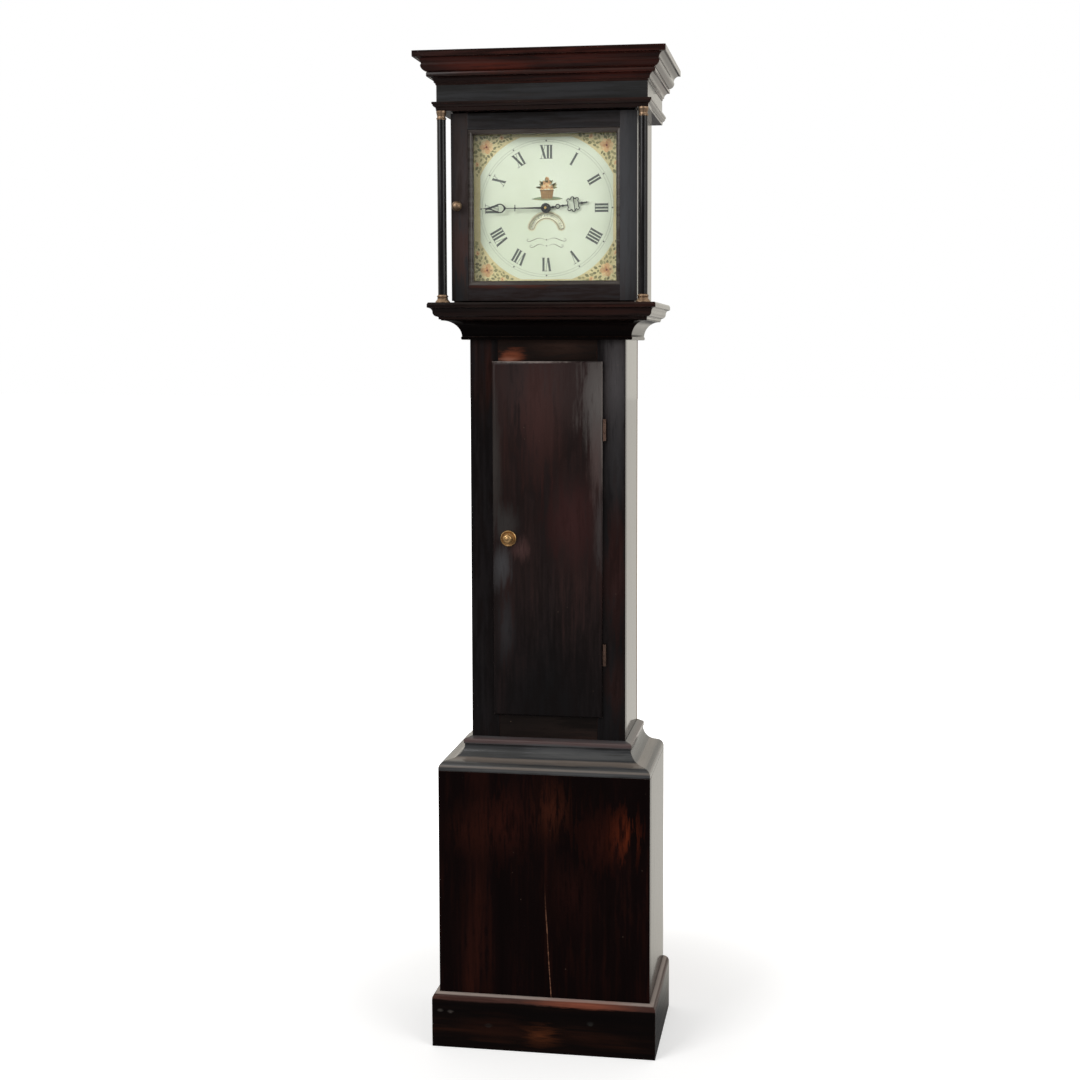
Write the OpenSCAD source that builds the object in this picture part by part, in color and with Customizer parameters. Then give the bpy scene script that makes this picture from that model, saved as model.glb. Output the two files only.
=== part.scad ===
// Longcase clock with a thirty-hour striking movement in a dark polished case.
// Millimetres, +Z up, front towards -Y. The origin is on the floor, under the middle of the
// outline box. A depth, written d, is measured forwards from the wall plane at the back.

/* [Base and plinth] */
// Height of the plinth
plinth_h = 111; // [60:1:160]
// How far the plinth stands out from the base
plinth_step = 13; // [8:0.5:20]
// Height of the base panel that shows above the plinth
base_h = 459; // [300:1:600]
// How far the base stands out from the trunk on the front and both sides
base_step = 58; // [45:1:75]
// Height of the moulding between base and trunk
cove_h = 61; // [56:1:80]

/* [Trunk] */
// Width of the trunk
trunk_w = 317; // [300:1:360]
// Depth of the trunk from the wall to its front
trunk_d = 188; // [186:1:230]
// Thickness of the case sides
side_t = 18; // [12:0.5:22]
// Thickness of the case front boards
front_t = 20; // [16:0.5:24]
// Thickness of the backboard
back_t = 12; // [8:0.5:16]
// Width of the door over its lip
door_w = 225; // [200:1:240]
// Height of the door over its lip
door_h = 722; // [600:1:800]
// Height of the frame that shows below the door
door_rise = 46; // [20:1:70]
// Height of the frame that shows above the door
door_drop = 43; // [20:1:70]
// How far the door's lip covers the frame
lip_w = 11.5; // [7:0.5:14]
// Thickness of the door's lip
lip_t = 9.4; // [6:0.1:12]
// Gap left round the door
door_gap = 1.5; // [1.3:0.1:2.5]

/* [Hood] */
// Height of the moulding under the hood, fixed to the trunk
throat_h = 40; // [36:1:50]
// How far that moulding stands out at its top
throat_step = 48; // [36:1:49]
// Height of the hood's bottom moulding
sill_h = 33; // [26:1:40]
// How far the hood's bottom moulding stands out from the hood's body
sill_step = 40; // [36:1:46]
// Width of the hood's body
hood_w = 374; // [366:1:390]
// Depth of the hood's body from the wall to the front of its door
hood_d = 225.5; // [222:0.5:250]
// Height of the hood between its bottom moulding and the architrave
hood_h = 374; // [370:1:400]
// Height of the architrave
architrave_h = 17; // [12:1:22]
// Height of the frieze
frieze_h = 33; // [25:1:45]
// How far the frieze stands out from the hood's body
frieze_step = 22; // [18:0.5:25]
// Height of the cornice
cornice_h = 61; // [50:1:75]
// How far the cornice stands out from the frieze
cornice_step = 38.5; // [34:0.5:50]
// Thickness of the hood's sides
hood_side_t = 16; // [10:0.5:16]
// Radius of the columns' shafts
column_r = 9.0; // [6:0.1:9.5]
// Radius of the columns' flared feet
column_foot_r = 14.5; // [11:0.5:16]
// Width of the stiles and rails of the hood door
hood_frame_w = 34; // [28:0.5:36]
// Thickness of the hood door
hood_door_t = 20; // [17:0.5:21]
// Width of the moulding round the hood door's glass
glass_bead_w = 9; // [6:0.5:11]
// Thickness of the glass
glass_t = 2; // [1.5:0.1:3]

/* [Dial and hands] */
// Height of the dial's centre above the top of the hood's bottom moulding
dial_rise = 187.5; // [184:0.5:192]
// Side of the square dial plate
dial_w = 305; // [300:1:315]
// Thickness of the dial plate
dial_t = 1.6; // [1:0.1:2.4]
// How far the face of the dial lies behind the front of the hood door
dial_setback = 32.5; // [31.5:0.5:34]
// Length of the minute hand
minute_l = 130; // [100:1:136]
// Length of the hour hand
hour_l = 88; // [65:1:94]
// Thickness of the hands
hand_t = 1.2; // [0.8:0.1:1.5]
// Hour that the hands show at rest
rest_hour = 2; // [1:1:12]
// Minute that the hands show at rest
rest_minute = 45; // [0:1:59]

/* [Movement] */
// Width of the movement's plates
plate_w = 150; // [146:1:170]
// Height of the movement's plates
plate_h = 164; // [160:1:175]
// Thickness of the movement's plates
plate_t = 2.5; // [2:0.1:3.5]
// Distance between the plates
plate_gap = 65; // [64:0.5:66]
// Tooth module of the going and striking wheels
train_m = 0.75; // [0.7:0.01:0.8]
// Thickness of the wheels
wheel_t = 2; // [1.2:0.1:2.4]
// Radial play of a pivot in its hole
pivot_play = 0.05; // [0.02:0.01:0.09]
// Radius at which the chain runs on its sprockets
chain_run_r = 13; // [12:0.1:14]
// Radius of the chain
chain_r = 1.4; // [1:0.1:1.8]

/* [Pendulum and weights] */
// Length of the pendulum from its spring to the middle of the bob
pendulum_l = 994; // [900:1:1000]
// Radius of the pendulum bob
bob_r = 52; // [40:1:60]
// Thickness of the pendulum bob
bob_t = 24; // [16:1:26]
// Radius of the driving weight
weight_r = 30; // [24:0.5:32]
// Height of the driving weight
weight_h = 230; // [150:1:260]
// How far the ring weight hangs below the seatboard
ring_hang = 150; // [100:5:300]
// Radius of the bell
bell_r = 40; // [32:1:44]

/* [Hidden] */
$fn = 64;

// Colours of the finished surfaces
dark_wood = [0.13, 0.08, 0.06];
inner_wood = [0.42, 0.30, 0.19];
old_brass = [0.72, 0.55, 0.28];
dark_steel = [0.32, 0.32, 0.34];
gilt = [0.70, 0.45, 0.27];
cream = [0.87, 0.89, 0.82];
black_paint = [0.05, 0.05, 0.05];
cast_iron = [0.22, 0.22, 0.23];

// Heights of the joints between the case's storeys
base_top_z = plinth_h + base_h;
trunk_h = door_rise + door_h + door_drop;
trunk_z = base_top_z + cove_h;
trunk_top_z = trunk_z + trunk_h;
sill_z = trunk_top_z + throat_h;
hood_z = sill_z + sill_h;
architrave_z = hood_z + hood_h;
frieze_z = architrave_z + architrave_h;
cornice_z = frieze_z + frieze_h;
top_z = cornice_z + cornice_h;
dial_z = hood_z + dial_rise;

// Half widths and depths of the faces that mouldings are fixed to
trunk_x = trunk_w / 2;
base_x = trunk_x + base_step;
base_d = trunk_d + base_step;
hood_x = hood_w / 2;
frieze_x = hood_x + frieze_step;
frieze_d = hood_d + frieze_step;
back_y = (frieze_d + cornice_step) / 2;

// Joinery: hairline between two pieces, and the working gap of a door
hairline = 0.1;
work_gap = 1;

// Trunk door, its opening and its hinges
door_x = door_w / 2;
door_z = trunk_z + door_rise;
opening_x = door_x - lip_w;
opening_z = door_z + lip_w;
opening_top_z = door_z + door_h - lip_w;
frame_low_z = base_top_z + front_t;
frame_high_z = sill_z - 4 * work_gap;
panel_t = front_t - 3;
knuckle_r = 3.6;
knuckle_h = 44;
hinge_x = door_x + knuckle_r + 0.4;
hinge_d = trunk_d + knuckle_r + 0.4;
hinge_inset_low = 129;
hinge_inset_high = 137;
hinge_zs = [door_z + hinge_inset_low, door_z + door_h - hinge_inset_high];
leaf_t = 1.2;
leaf_w = 9;
leaf_x = hinge_x - knuckle_r - leaf_w;
hinge_pin_r = 1.3;
knuckle_play = 0.15;

// Knob and catch of the trunk door
knob_inset = 33.5;
knob_x = -door_x + knob_inset;
knob_rise = 3;
knob_z = door_z + door_h / 2 + knob_rise;
rose_r = 16.5;
rose_t = 1.4;
knob_stem_r = 4;
catch_l = 34;
catch_w = 11;
catch_t = 4;
catch_d = trunk_d - front_t - work_gap - catch_t;
lip_d = trunk_d + 0.6;
lip_front_d = lip_d + lip_t;

// Hood door
hood_door_x = hood_x - 1;
hood_door_z = hood_z + 3.8;
hood_door_top_z = architrave_z - 2;
hood_door_d = hood_d - hood_door_t;
light_x = hood_door_x - hood_frame_w;
light_z = hood_door_z + hood_frame_w - 3;
light_top_z = hood_door_top_z - hood_frame_w + 2;
glass_d = hood_door_d + 2.7;
pin_r = 2;
pin_x = hood_door_x - 3.5;
pin_d = hood_d - 3.5;
pin_reach = 3.4;
hood_knob_x = -hood_door_x + hood_frame_w * 0.42;
column_x = frieze_x - column_r;
column_d = frieze_d - 4;
column_taper = 0.97;
cap_h = 17;
foot_h = 15;

// Movement, measured from the dial centre; x to the right, z up, d forwards from the wall
dial_d = hood_d - dial_setback;
dial_stand = 28;
front_plate_d = dial_d - dial_stand;
back_plate_d = front_plate_d - plate_gap - plate_t;
seat_z = dial_z - 70.5;
seat_t = 14;
seat_back_d = back_plate_d - 7;
seat_front_d = front_plate_d + plate_t + 3;
arbor_r = 1.6;
slim_arbor_r = 1;
pivot_r = 0.7;
date_drop = 45;
date_r = 36.2;
date_teeth = 31;
date_tooth_l = 2.2;
date_slot_r = 31;
date_slot_half = 4.5;
date_sweep = 74;
date_stud_r = 1.5;
stud_r = 2;
cannon_r = 4.2;
hour_pipe_r = 5.5;
minute_d = dial_d + 8.5;
hour_d = dial_d + 3.5;
cannon_d = front_plate_d + plate_t + 3.5;
hour_wheel_d = cannon_d + wheel_t + 3;
date_d = dial_d - dial_t - 4;

// Teeth: counts and modules of the trains
great_n = 96;
second_n = 80;
escape_n = 30;
leaves_n = 8;
report_n = 60;
cannon_n = 30;
nut_n = 12;
hour_n = 72;
report_m = 0.84;
hour_m = 0.9;
strike_n = 78;
hoop_n = 60;
warning_n = 48;
small_leaves_n = 6;
hoop_m = 0.7;
warning_m = 0.65;
count_n = 48;
hammer_pins = 13;

// Arbor places, each an [x, z] pair, set at the centre distance of its gears
function pitch_r(n, m) = n * m / 2;
function at(p, r, a) = [p[0] + r * cos(a), p[1] + r * sin(a)];
function bearing(a, b) = atan2(b[1] - a[1], b[0] - a[0]);
centre = [0, dial_z];
report_gap = pitch_r(report_n + cannon_n, report_m);
great_p = at(centre, report_gap, -37.5);
second_p = at(great_p, pitch_r(great_n + leaves_n, train_m), 114.2);
escape_p = at(second_p, pitch_r(second_n + leaves_n, train_m), 115.1);
escape_r = 22;
anchor_span = 45;
anchor_p = [0, escape_p[1] + escape_r / cos(anchor_span)];
strike_p = [-great_p[0], great_p[1]];
hoop_p = at(strike_p, pitch_r(strike_n + small_leaves_n, train_m), 130);
warning_p = at(hoop_p, pitch_r(hoop_n + small_leaves_n, hoop_m), 75);
fly_p = at(warning_p, pitch_r(warning_n + small_leaves_n, warning_m), 120);
count_p = at(strike_p, pitch_r(count_n + leaves_n, train_m), -150);
hammer_p = [-50, dial_z + 69.5];

// Layers of the wheels, as depths of their rear faces
sprocket_d = back_plate_d + plate_t + 18;
sprocket_half = 5;
great_layer = front_plate_d - 15;
second_layer = sprocket_d + 12;
escape_layer = back_plate_d + plate_t + 6;
strike_layer = great_layer - 12;
hoop_layer = sprocket_d + 9;
warning_layer = great_layer + 1;
fly_layer = back_plate_d + plate_t + 7;
count_layer = back_plate_d - 5;

// Pendulum, crutch and back cock
pendulum_d = back_plate_d - 27;
cock_d = back_plate_d - 19;
crutch_d = back_plate_d - 12;
crutch_l = 128;
rod_r = 2.5;
jaw_h = 12;
pendulum_top_z = anchor_p[1];
bob_z = pendulum_top_z - pendulum_l;
nut_z = bob_z - bob_r - 9;

// Weight, pulley, ring weight and chain
pulley_r = great_p[0] - chain_run_r;
weight_z = 90;
weight_top_z = weight_z + weight_h;
pulley_z = weight_top_z + 38;
ring_r = 14;
ring_t = 4.5;
ring_d = trunk_d - front_t - 10;
ring_z = seat_z - seat_t - ring_hang;
chain_out_x = great_p[0] + chain_run_r;
chain_bend_drop = 6;
chain_bend_z = seat_z - seat_t - chain_bend_drop;
chain_bend_r = chain_r + 0.1;
chain_loop_r = ring_t + chain_r + 0.2;
slot_play = 6;
slot_in_x = pulley_r - slot_play;
slot_out_x = chain_out_x + slot_play;

// Bell
bell_z = anchor_p[1] + 40;
bell_d = sprocket_d + 12;
bell_h = 34;
bell_wall = 3;
bell_stem_r = 3;

// Shared shapes

// A board between two x, two depths and two heights
module slab(x0, x1, d0, d1, z0, z1) {
    translate([x0, back_y - d1, z0]) cube([x1 - x0, d1 - d0, z1 - z0]);
}

// A board on the right side and its mirror image on the left
module both_sides() {
    children();
    mirror([1, 0, 0]) children();
}

// A local frame with x to the right, y up and z forwards from the wall
module from_wall(p = [0, 0], d = 0) {
    translate([p[0], back_y - d, p[1]]) rotate([90, 0, 0]) children();
}

// Points along an arc, and along an oval of half width r and half height h
function arc(c, r, a0, a1, n) = oval(c, r, r, a0, a1, n);
function oval(c, r, h, a0, a1, n) =
    [for (i = [0:n]) [c[0] + r * cos(a0 + (a1 - a0) * i / n), c[1] + h * sin(a0 + (a1 - a0) * i / n)]];

// A closed outline from its upper half
function both_halves(half) = concat(half,
    [for (i = [len(half) - 1:-1:0]) if (half[i][1] > 0) [half[i][0], -half[i][1]]]);

// The plan of the front run of a mitred moulding, from its inner edge to past its outer one
module mitre_plan(half_x, front_d, inner, outer, grow) {
    translate([0, 0, -1]) linear_extrude(top_z + 2) polygon([
        [-(half_x - inner) - grow, back_y - (front_d - inner)],
        [half_x - inner + grow, back_y - (front_d - inner)],
        [half_x + outer + grow, back_y - (front_d + outer)],
        [-(half_x + outer) - grow, back_y - (front_d + outer)]
    ]);
}

// A moulding along the front and both sides of a box, mitred at the corners. The profile is
// [stand-out, height]; the stand-out runs from -inner to outer.
module mitred_moulding(profile, half_x, front_d, inner, outer, rear_d = 0) {
    reach = half_x + outer;
    intersection() {
        translate([reach, back_y - front_d, 0]) rotate([90, 0, -90])
            linear_extrude(2 * reach) polygon(profile);
        mitre_plan(half_x, front_d, inner, outer, -hairline);
    }
    both_sides() difference() {
        translate([half_x, back_y - rear_d, 0]) rotate([90, 0, 0])
            linear_extrude(front_d + outer - rear_d) polygon(profile);
        mitre_plan(half_x, front_d, inner, outer, 0);
        slab(0, half_x + outer + 1, front_d + outer - 0.001, front_d + outer + 1, -1, top_z + 1);
    }
}

// Tooth shapes. Half widths are shares of the circular pitch; the tips are circular arcs.
tooth_share = 0.23;
leaf_share = 0.19;
function tooth(r, m, turn, share, up, down, bow) = let(
    w = share * PI * m,
    mid = up * 0.55,
    spread = function (h, s) s * (w - m * (bow - sqrt(bow * bow - h * h))) / (r + h * m) * 180 / PI,
    root = share * PI * m / r * 180 / PI,
    polar = function (rad, a) [rad * cos(turn + a), rad * sin(turn + a)]
) [
    polar(r - down * m, -root), polar(r, spread(0, -1)), polar(r + mid * m, spread(mid, -1)),
    polar(r + up * m, spread(up, -1)), polar(r + up * m, spread(up, 1)),
    polar(r + mid * m, spread(mid, 1)), polar(r, spread(0, 1)), polar(r - down * m, root)
];
function wheel_outline(n, m, turn, up = 1.2) =
    [for (i = [0:n - 1]) each tooth(pitch_r(n, m), m, turn + 360 * i / n, tooth_share, up, 1.35, 1.7)];
function leaf_outline(n, m, turn) =
    [for (i = [0:n - 1]) each tooth(pitch_r(n, m), m, turn + 360 * i / n, leaf_share, 0.55, 1.6, 0.72)];

// A toothed wheel with four arms, its first tooth at angle turn
module wheel(n, m, turn, t, hub_r, up = 1.2, arms = 4) {
    rim = pitch_r(n, m) - 4 * m;
    linear_extrude(t) difference() {
        polygon(wheel_outline(n, m, turn, up));
        if (arms > 0) difference() {
            circle(rim);
            circle(hub_r + 3);
            for (k = [0:arms - 1]) rotate(turn + 360 * k / arms) translate([0, -1.7]) square([rim + 1, 3.4]);
        }
    }
}

module pinion(n, m, turn, t) {
    linear_extrude(t) polygon(leaf_outline(n, m, turn));
}

// An arbor that turns between the plates, with a pivot in each
module arbor(r = arbor_r, pivot = pivot_r) {
    rear = back_plate_d;
    translate([0, 0, rear + plate_t + 0.4]) cylinder(r = r, h = plate_gap - 0.8);
    translate([0, 0, rear + 0.3]) cylinder(r = pivot, h = plate_gap + 2 * plate_t - 0.6);
}

// Angle of the first leaf of a pinion at b that meets a wheel tooth coming from a
function leaf_turn(a, b, n) = bearing(b, a) + 180 / n;

// Case

module backboard() {
    low = plinth_h / 4;
    wide = base_x - side_t;
    color(inner_wood) from_wall() linear_extrude(back_t) polygon([
        [-wide, low], [wide, low], [wide, base_top_z - 2], [trunk_x, base_top_z - 2],
        [trunk_x, architrave_z - 12], [-trunk_x, architrave_z - 12], [-trunk_x, base_top_z - 2],
        [-wide, base_top_z - 2]
    ]);
}

module base_front() {
    color(dark_wood) slab(-base_x, base_x, base_d - front_t, base_d, plinth_h / 4, base_top_z);
}

module base_sides() {
    color(dark_wood) both_sides()
        slab(base_x - side_t, base_x, 0, base_d - front_t, plinth_h / 4, base_top_z);
}

module plinth() {
    round_r = plinth_step - 1;
    profile = concat([[0, 0], [plinth_step, 0]],
        arc([plinth_step - round_r, plinth_h - round_r], round_r, 0, 90, 8), [[0, plinth_h]]);
    color(dark_wood) mitred_moulding(profile, base_x, base_d, 0, plinth_step);
}

// A low upright edge, a round nose, a large hollow and a bead under the trunk
module base_cove() {
    bead = 15;
    bead_h = 10;
    bead_slope = 4;
    edge_h = 4.5;
    nose_r = 14;
    quirk = 3;
    undercut = 2;
    step = 0.5;
    z = trunk_z - bead_slope;
    nose_z = base_top_z + edge_h;
    hollow_x = base_step - nose_r - quirk;
    hollow_z = z - bead_h;
    profile = concat([[0, base_top_z], [base_step, base_top_z]],
        arc([base_step - nose_r, nose_z], nose_r, 0, 90, 7),
        oval([hollow_x, hollow_z], hollow_x - bead + undercut, hollow_z - nose_z - nose_r - step,
            270, 182, 11),
        [[bead, hollow_z + step], [bead, z - 2], [bead - 2, z], [0, trunk_z]]);
    color(dark_wood) mitred_moulding(profile, trunk_x, trunk_d, 0, base_step);
}

module leaf_recesses(d0, d1, x1) {
    for (z = hinge_zs) slab(leaf_x, x1, d0, d1, z - knuckle_h / 2, z + knuckle_h / 2);
}

module trunk_stiles() {
    color(dark_wood) difference() {
        both_sides() slab(opening_x, trunk_x, trunk_d - front_t, trunk_d, frame_low_z, frame_high_z);
        leaf_recesses(trunk_d - leaf_t, trunk_d + 1, hinge_x);
    }
}

module trunk_rails() {
    color(dark_wood) {
        slab(-opening_x + hairline, opening_x - hairline, trunk_d - front_t, trunk_d, frame_low_z, opening_z);
        slab(-opening_x + hairline, opening_x - hairline, trunk_d - front_t, trunk_d,
            opening_top_z, frame_high_z);
    }
}

module trunk_sides() {
    color(dark_wood) both_sides()
        slab(trunk_x - side_t, trunk_x, back_t, trunk_d - front_t, frame_low_z, seat_z - seat_t);
}

// A square foot and one large hollow that sweeps out to the hood's bottom moulding
module throat_moulding() {
    foot = 15;
    throat_foot_h = 6;
    chamfer = 1.5;
    edge = 2;
    foot_top = trunk_top_z + throat_foot_h;
    hollow_top = sill_z - edge;
    hollow_x = throat_step - edge;
    profile = concat([[0, trunk_top_z], [foot - chamfer, trunk_top_z], [foot, trunk_top_z + chamfer],
        [foot, foot_top]],
        oval([hollow_x, foot_top], hollow_x - foot + chamfer, hollow_top - foot_top, 180, 90, 10),
        [[throat_step, hollow_top], [throat_step, sill_z], [0, sill_z]]);
    color(dark_wood) mitred_moulding(profile, trunk_x, trunk_d, 0, throat_step);
}

module seatboard() {
    color(inner_wood) difference() {
        slab(-trunk_x, trunk_x, seat_back_d, seat_front_d, seat_z - seat_t, seat_z);
        both_sides() slab(slot_in_x, slot_out_x, sprocket_d - 8, sprocket_d + 26,
            seat_z - seat_t - 1, seat_z + 1);
    }
}

// One hinge half for each hinge: a leaf let into the wood and its barrels on the pin line
module hinge_half(middle, leaf_d, leaf_end, web_x, web_d) {
    third = knuckle_h / 3;
    for (z = hinge_zs) difference() {
        union() {
            slab(leaf_x, leaf_end, leaf_d, leaf_d + leaf_t, z - knuckle_h / 2 + knuckle_play,
                z + knuckle_h / 2 - knuckle_play);
            for (low = middle ? [z - third / 2] : [z - knuckle_h / 2, z + third / 2]) {
                translate([hinge_x, back_y - hinge_d, low + knuckle_play])
                    cylinder(r = knuckle_r, h = third - 2 * knuckle_play);
                slab(web_x, hinge_x, leaf_d, web_d, low + knuckle_play, low + third - knuckle_play);
            }
        }
        if (middle) translate([hinge_x, back_y - hinge_d, z - knuckle_h / 2])
            cylinder(r = hinge_pin_r + pivot_play, h = knuckle_h);
    }
}

module hinge_frame_leaves() {
    color(old_brass) {
        hinge_half(false, trunk_d - leaf_t, hinge_x, hinge_x - leaf_t, hinge_d);
        for (z = hinge_zs) translate([hinge_x, back_y - hinge_d, z - knuckle_h / 2 + 1])
            cylinder(r = hinge_pin_r, h = knuckle_h - 2);
    }
}

module hinge_door_leaves() {
    leaf_d = hinge_d - leaf_t / 2;
    color(old_brass) hinge_half(true, leaf_d, door_x, door_x - 1, leaf_d + leaf_t);
}

// The door's outline in plan or in side view, square behind and rounded in front
module lip_section(half) {
    r = lip_t * 0.72;
    polygon(concat([[-half, lip_d], [half, lip_d]], arc([half - r, lip_front_d - r], r, 0, 90, 6),
        arc([-half + r, lip_front_d - r], r, 90, 180, 6)));
}

module trunk_door() {
    inner_x = opening_x - door_gap;
    mid_z = door_z + door_h / 2;
    color(dark_wood) difference() {
        union() {
            intersection() {
                translate([0, back_y, door_z]) mirror([0, 1, 0]) linear_extrude(door_h) lip_section(door_x);
                translate([-door_x, back_y, mid_z]) rotate([0, 90, 0]) mirror([0, 1, 0])
                    linear_extrude(door_w) lip_section(door_h / 2);
            }
            slab(-inner_x, inner_x, trunk_d - panel_t, lip_d, opening_z + door_gap,
                opening_top_z - door_gap);
        }
        leaf_recesses(hinge_d - leaf_t / 2, hinge_d + leaf_t / 2, hinge_x);
        from_wall([knob_x, knob_z]) cylinder(r = knob_stem_r + pivot_play, h = base_d);
    }
}

module knob_rose() {
    color(old_brass) from_wall([knob_x, knob_z], lip_front_d) difference() {
        rotate_extrude() polygon(concat([[0, 0], [rose_r, 0]], arc([rose_r - 3, 0.6], 3, 0, 60, 4),
            [[rose_r - 5, rose_t], [0, rose_t]]));
        translate([0, 0, -1]) cylinder(r = knob_stem_r + pivot_play, h = 9);
    }
}

module trunk_knob() {
    face = lip_front_d + rose_t + 0.3;
    grip_r = 8.5;
    color(old_brass) from_wall([knob_x, knob_z]) {
        translate([0, 0, catch_d]) cylinder(r = knob_stem_r, h = face - catch_d + 2);
        translate([0, 0, face]) rotate_extrude() polygon(concat([[0, 0], [5.5, 0], [5.5, 5]],
            arc([grip_r - 3, 9], 3.4, -60, 75, 7), arc([0, 2], 11, 66, 90, 4)));
    }
}

module trunk_catch() {
    color(dark_steel) from_wall([knob_x, knob_z], catch_d) linear_extrude(catch_t) difference() {
        union() {
            circle(catch_w / 2 + 1.5);
            translate([-catch_w / 2, 0]) square([catch_w, catch_l - 4]);
            translate([0, catch_l - 4]) circle(catch_w / 2);
        }
        circle(knob_stem_r);
    }
}

// Hood

module hood_sides() {
    color(dark_wood) both_sides()
        slab(hood_x - hood_side_t, hood_x, 0, hood_door_d - 1.5, hood_z, cornice_z);
}

module hood_head_rail() {
    color(dark_wood) difference() {
        slab(-hood_x, hood_x, hood_door_d - 1.4, hood_d, architrave_z, cornice_z);
        translate([pin_x, back_y - pin_d, architrave_z - 1])
            cylinder(r = pin_r + pivot_play, h = 1 + pin_reach);
    }
}

module hood_top_board() {
    color(inner_wood) slab(-hood_x, hood_x, 0, hood_d, cornice_z, cornice_z + 10);
}

module hood_frieze() {
    profile = [[-frieze_step, frieze_z], [0, frieze_z], [0, cornice_z], [-frieze_step, cornice_z]];
    color(dark_wood) mitred_moulding(profile, frieze_x, frieze_d, frieze_step, 0);
}

module hood_architrave() {
    out = 8;
    fillet = 4;
    profile = concat([[-frieze_step, architrave_z], [0.5, architrave_z]],
        arc([0.5, frieze_z - fillet - 0.5], out - 2, -80, 0, 6),
        [[out, frieze_z - fillet], [out, frieze_z], [-frieze_step, frieze_z]]);
    color(dark_wood) mitred_moulding(profile, frieze_x, frieze_d, frieze_step, out);
}

module hood_cornice() {
    top_fillet = 12;
    mid_out = cornice_step * 0.38;
    cove_low = cornice_z + 4;
    wave_low = cornice_z + cornice_h * 0.38;
    wave_top = top_z - top_fillet;
    wave_mid = (wave_low + wave_top) / 2;
    wave_r = (wave_top - wave_low) / 2;
    cove_r = mid_out - 5;
    profile = concat([[-frieze_step, cornice_z], [1.5, cornice_z], [1.5, cove_low], [4, cove_low]],
        arc([4 + cove_r, cove_low + 1], cove_r, 180, 90, 8),
        [[mid_out + 1.5, cove_low + cove_r + 1], [mid_out + 1.5, wave_low - 1], [mid_out - 1, wave_low]],
        arc([mid_out - 1, wave_mid - 0.5], wave_r - 1, -80, -4, 6),
        arc([cornice_step - 2.5, wave_mid + 1.5], wave_r - 1, 176, 96, 6),
        [[cornice_step - 1, wave_top], [cornice_step, wave_top], [cornice_step, top_z],
            [-frieze_step, top_z]]);
    color(dark_wood) mitred_moulding(profile, frieze_x, frieze_d, frieze_step, cornice_step);
}

module hood_sill() {
    inner = hood_side_t + 2;
    nose = 7;
    under = sill_step - 19;
    profile = concat([[-inner, sill_z], [under, sill_z], [under, sill_z + 4]],
        arc([under + 1, sill_z + 14], 9, -85, 0, 6),
        arc([sill_step - 1, sill_z + 14.5], 8, 180, 100, 5),
        [[sill_step, hood_z - 10], [sill_step, hood_z - nose / 2], [sill_step - 2, hood_z],
            [-inner, hood_z]]);
    color(dark_wood) difference() {
        mitred_moulding(profile, hood_x, hood_d, inner, sill_step);
        translate([pin_x, back_y - pin_d, hood_z - pin_reach]) cylinder(r = pin_r + pivot_play, h = 5);
    }
}

module dial_mask() {
    mask_t = 6;
    cut_x = light_x - 2;
    color(dark_wood) difference() {
        slab(-(hood_x - hood_side_t), hood_x - hood_side_t, dial_d + 2, dial_d + 2 + mask_t,
            hood_z, architrave_z + 15);
        slab(-cut_x, cut_x, dial_d, dial_d + 10, light_z + 1, light_top_z - 1);
    }
}

module hood_columns() {
    low = hood_z + foot_h;
    high = architrave_z - cap_h;
    color(dark_wood) both_sides() translate([column_x, back_y - column_d, low])
        cylinder(r1 = column_r, r2 = column_r * column_taper, h = high - low);
}

// A flared foot with a ring above it, and a smaller flared cap
module column_mounts() {
    neck = column_r + 0.6;
    foot = [[0, 0], [column_foot_r, 0], [column_foot_r, 1.6], [column_foot_r - 1.9, 4],
        [column_foot_r - 4.1, 7], [neck + 1.1, 9], [neck, 9.6]];
    cap_r = column_r + 0.9;
    color(gilt) both_sides() {
        translate([column_x, back_y - column_d, hood_z]) rotate_extrude() polygon(concat(foot,
            arc([neck, foot_h - 3], 1.7, -70, 70, 5), [[neck, foot_h], [0, foot_h]]));
        translate([column_x, back_y - column_d, architrave_z - cap_h]) rotate_extrude() polygon(concat(
            [[0, 0], [column_r, 0]], arc([column_r - 0.8, 2.5], 1.7, -60, 80, 5),
            [[column_r - 0.8, 6], [column_r + 0.2, 11], [cap_r, 13.5], [cap_r, cap_h], [0, cap_h]]));
    }
}

module hood_door_stiles() {
    color(dark_wood) difference() {
        both_sides() slab(light_x, hood_door_x, hood_door_d, hood_d, hood_door_z, hood_door_top_z);
        from_wall([hood_knob_x, dial_z + 2], hood_d - 12) cylinder(r = 2.5, h = 30);
        translate([pin_x, back_y - pin_d, hood_door_z - 1]) cylinder(r = pin_r, h = 13);
        translate([pin_x, back_y - pin_d, hood_door_top_z - 12]) cylinder(r = pin_r, h = 13);
    }
}

module hood_door_rails() {
    x = light_x - hairline;
    color(dark_wood) {
        slab(-x, x, hood_door_d, hood_d, hood_door_z, light_z);
        slab(-x, x, hood_door_d, hood_d, light_top_z, hood_door_top_z);
    }
}

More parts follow.
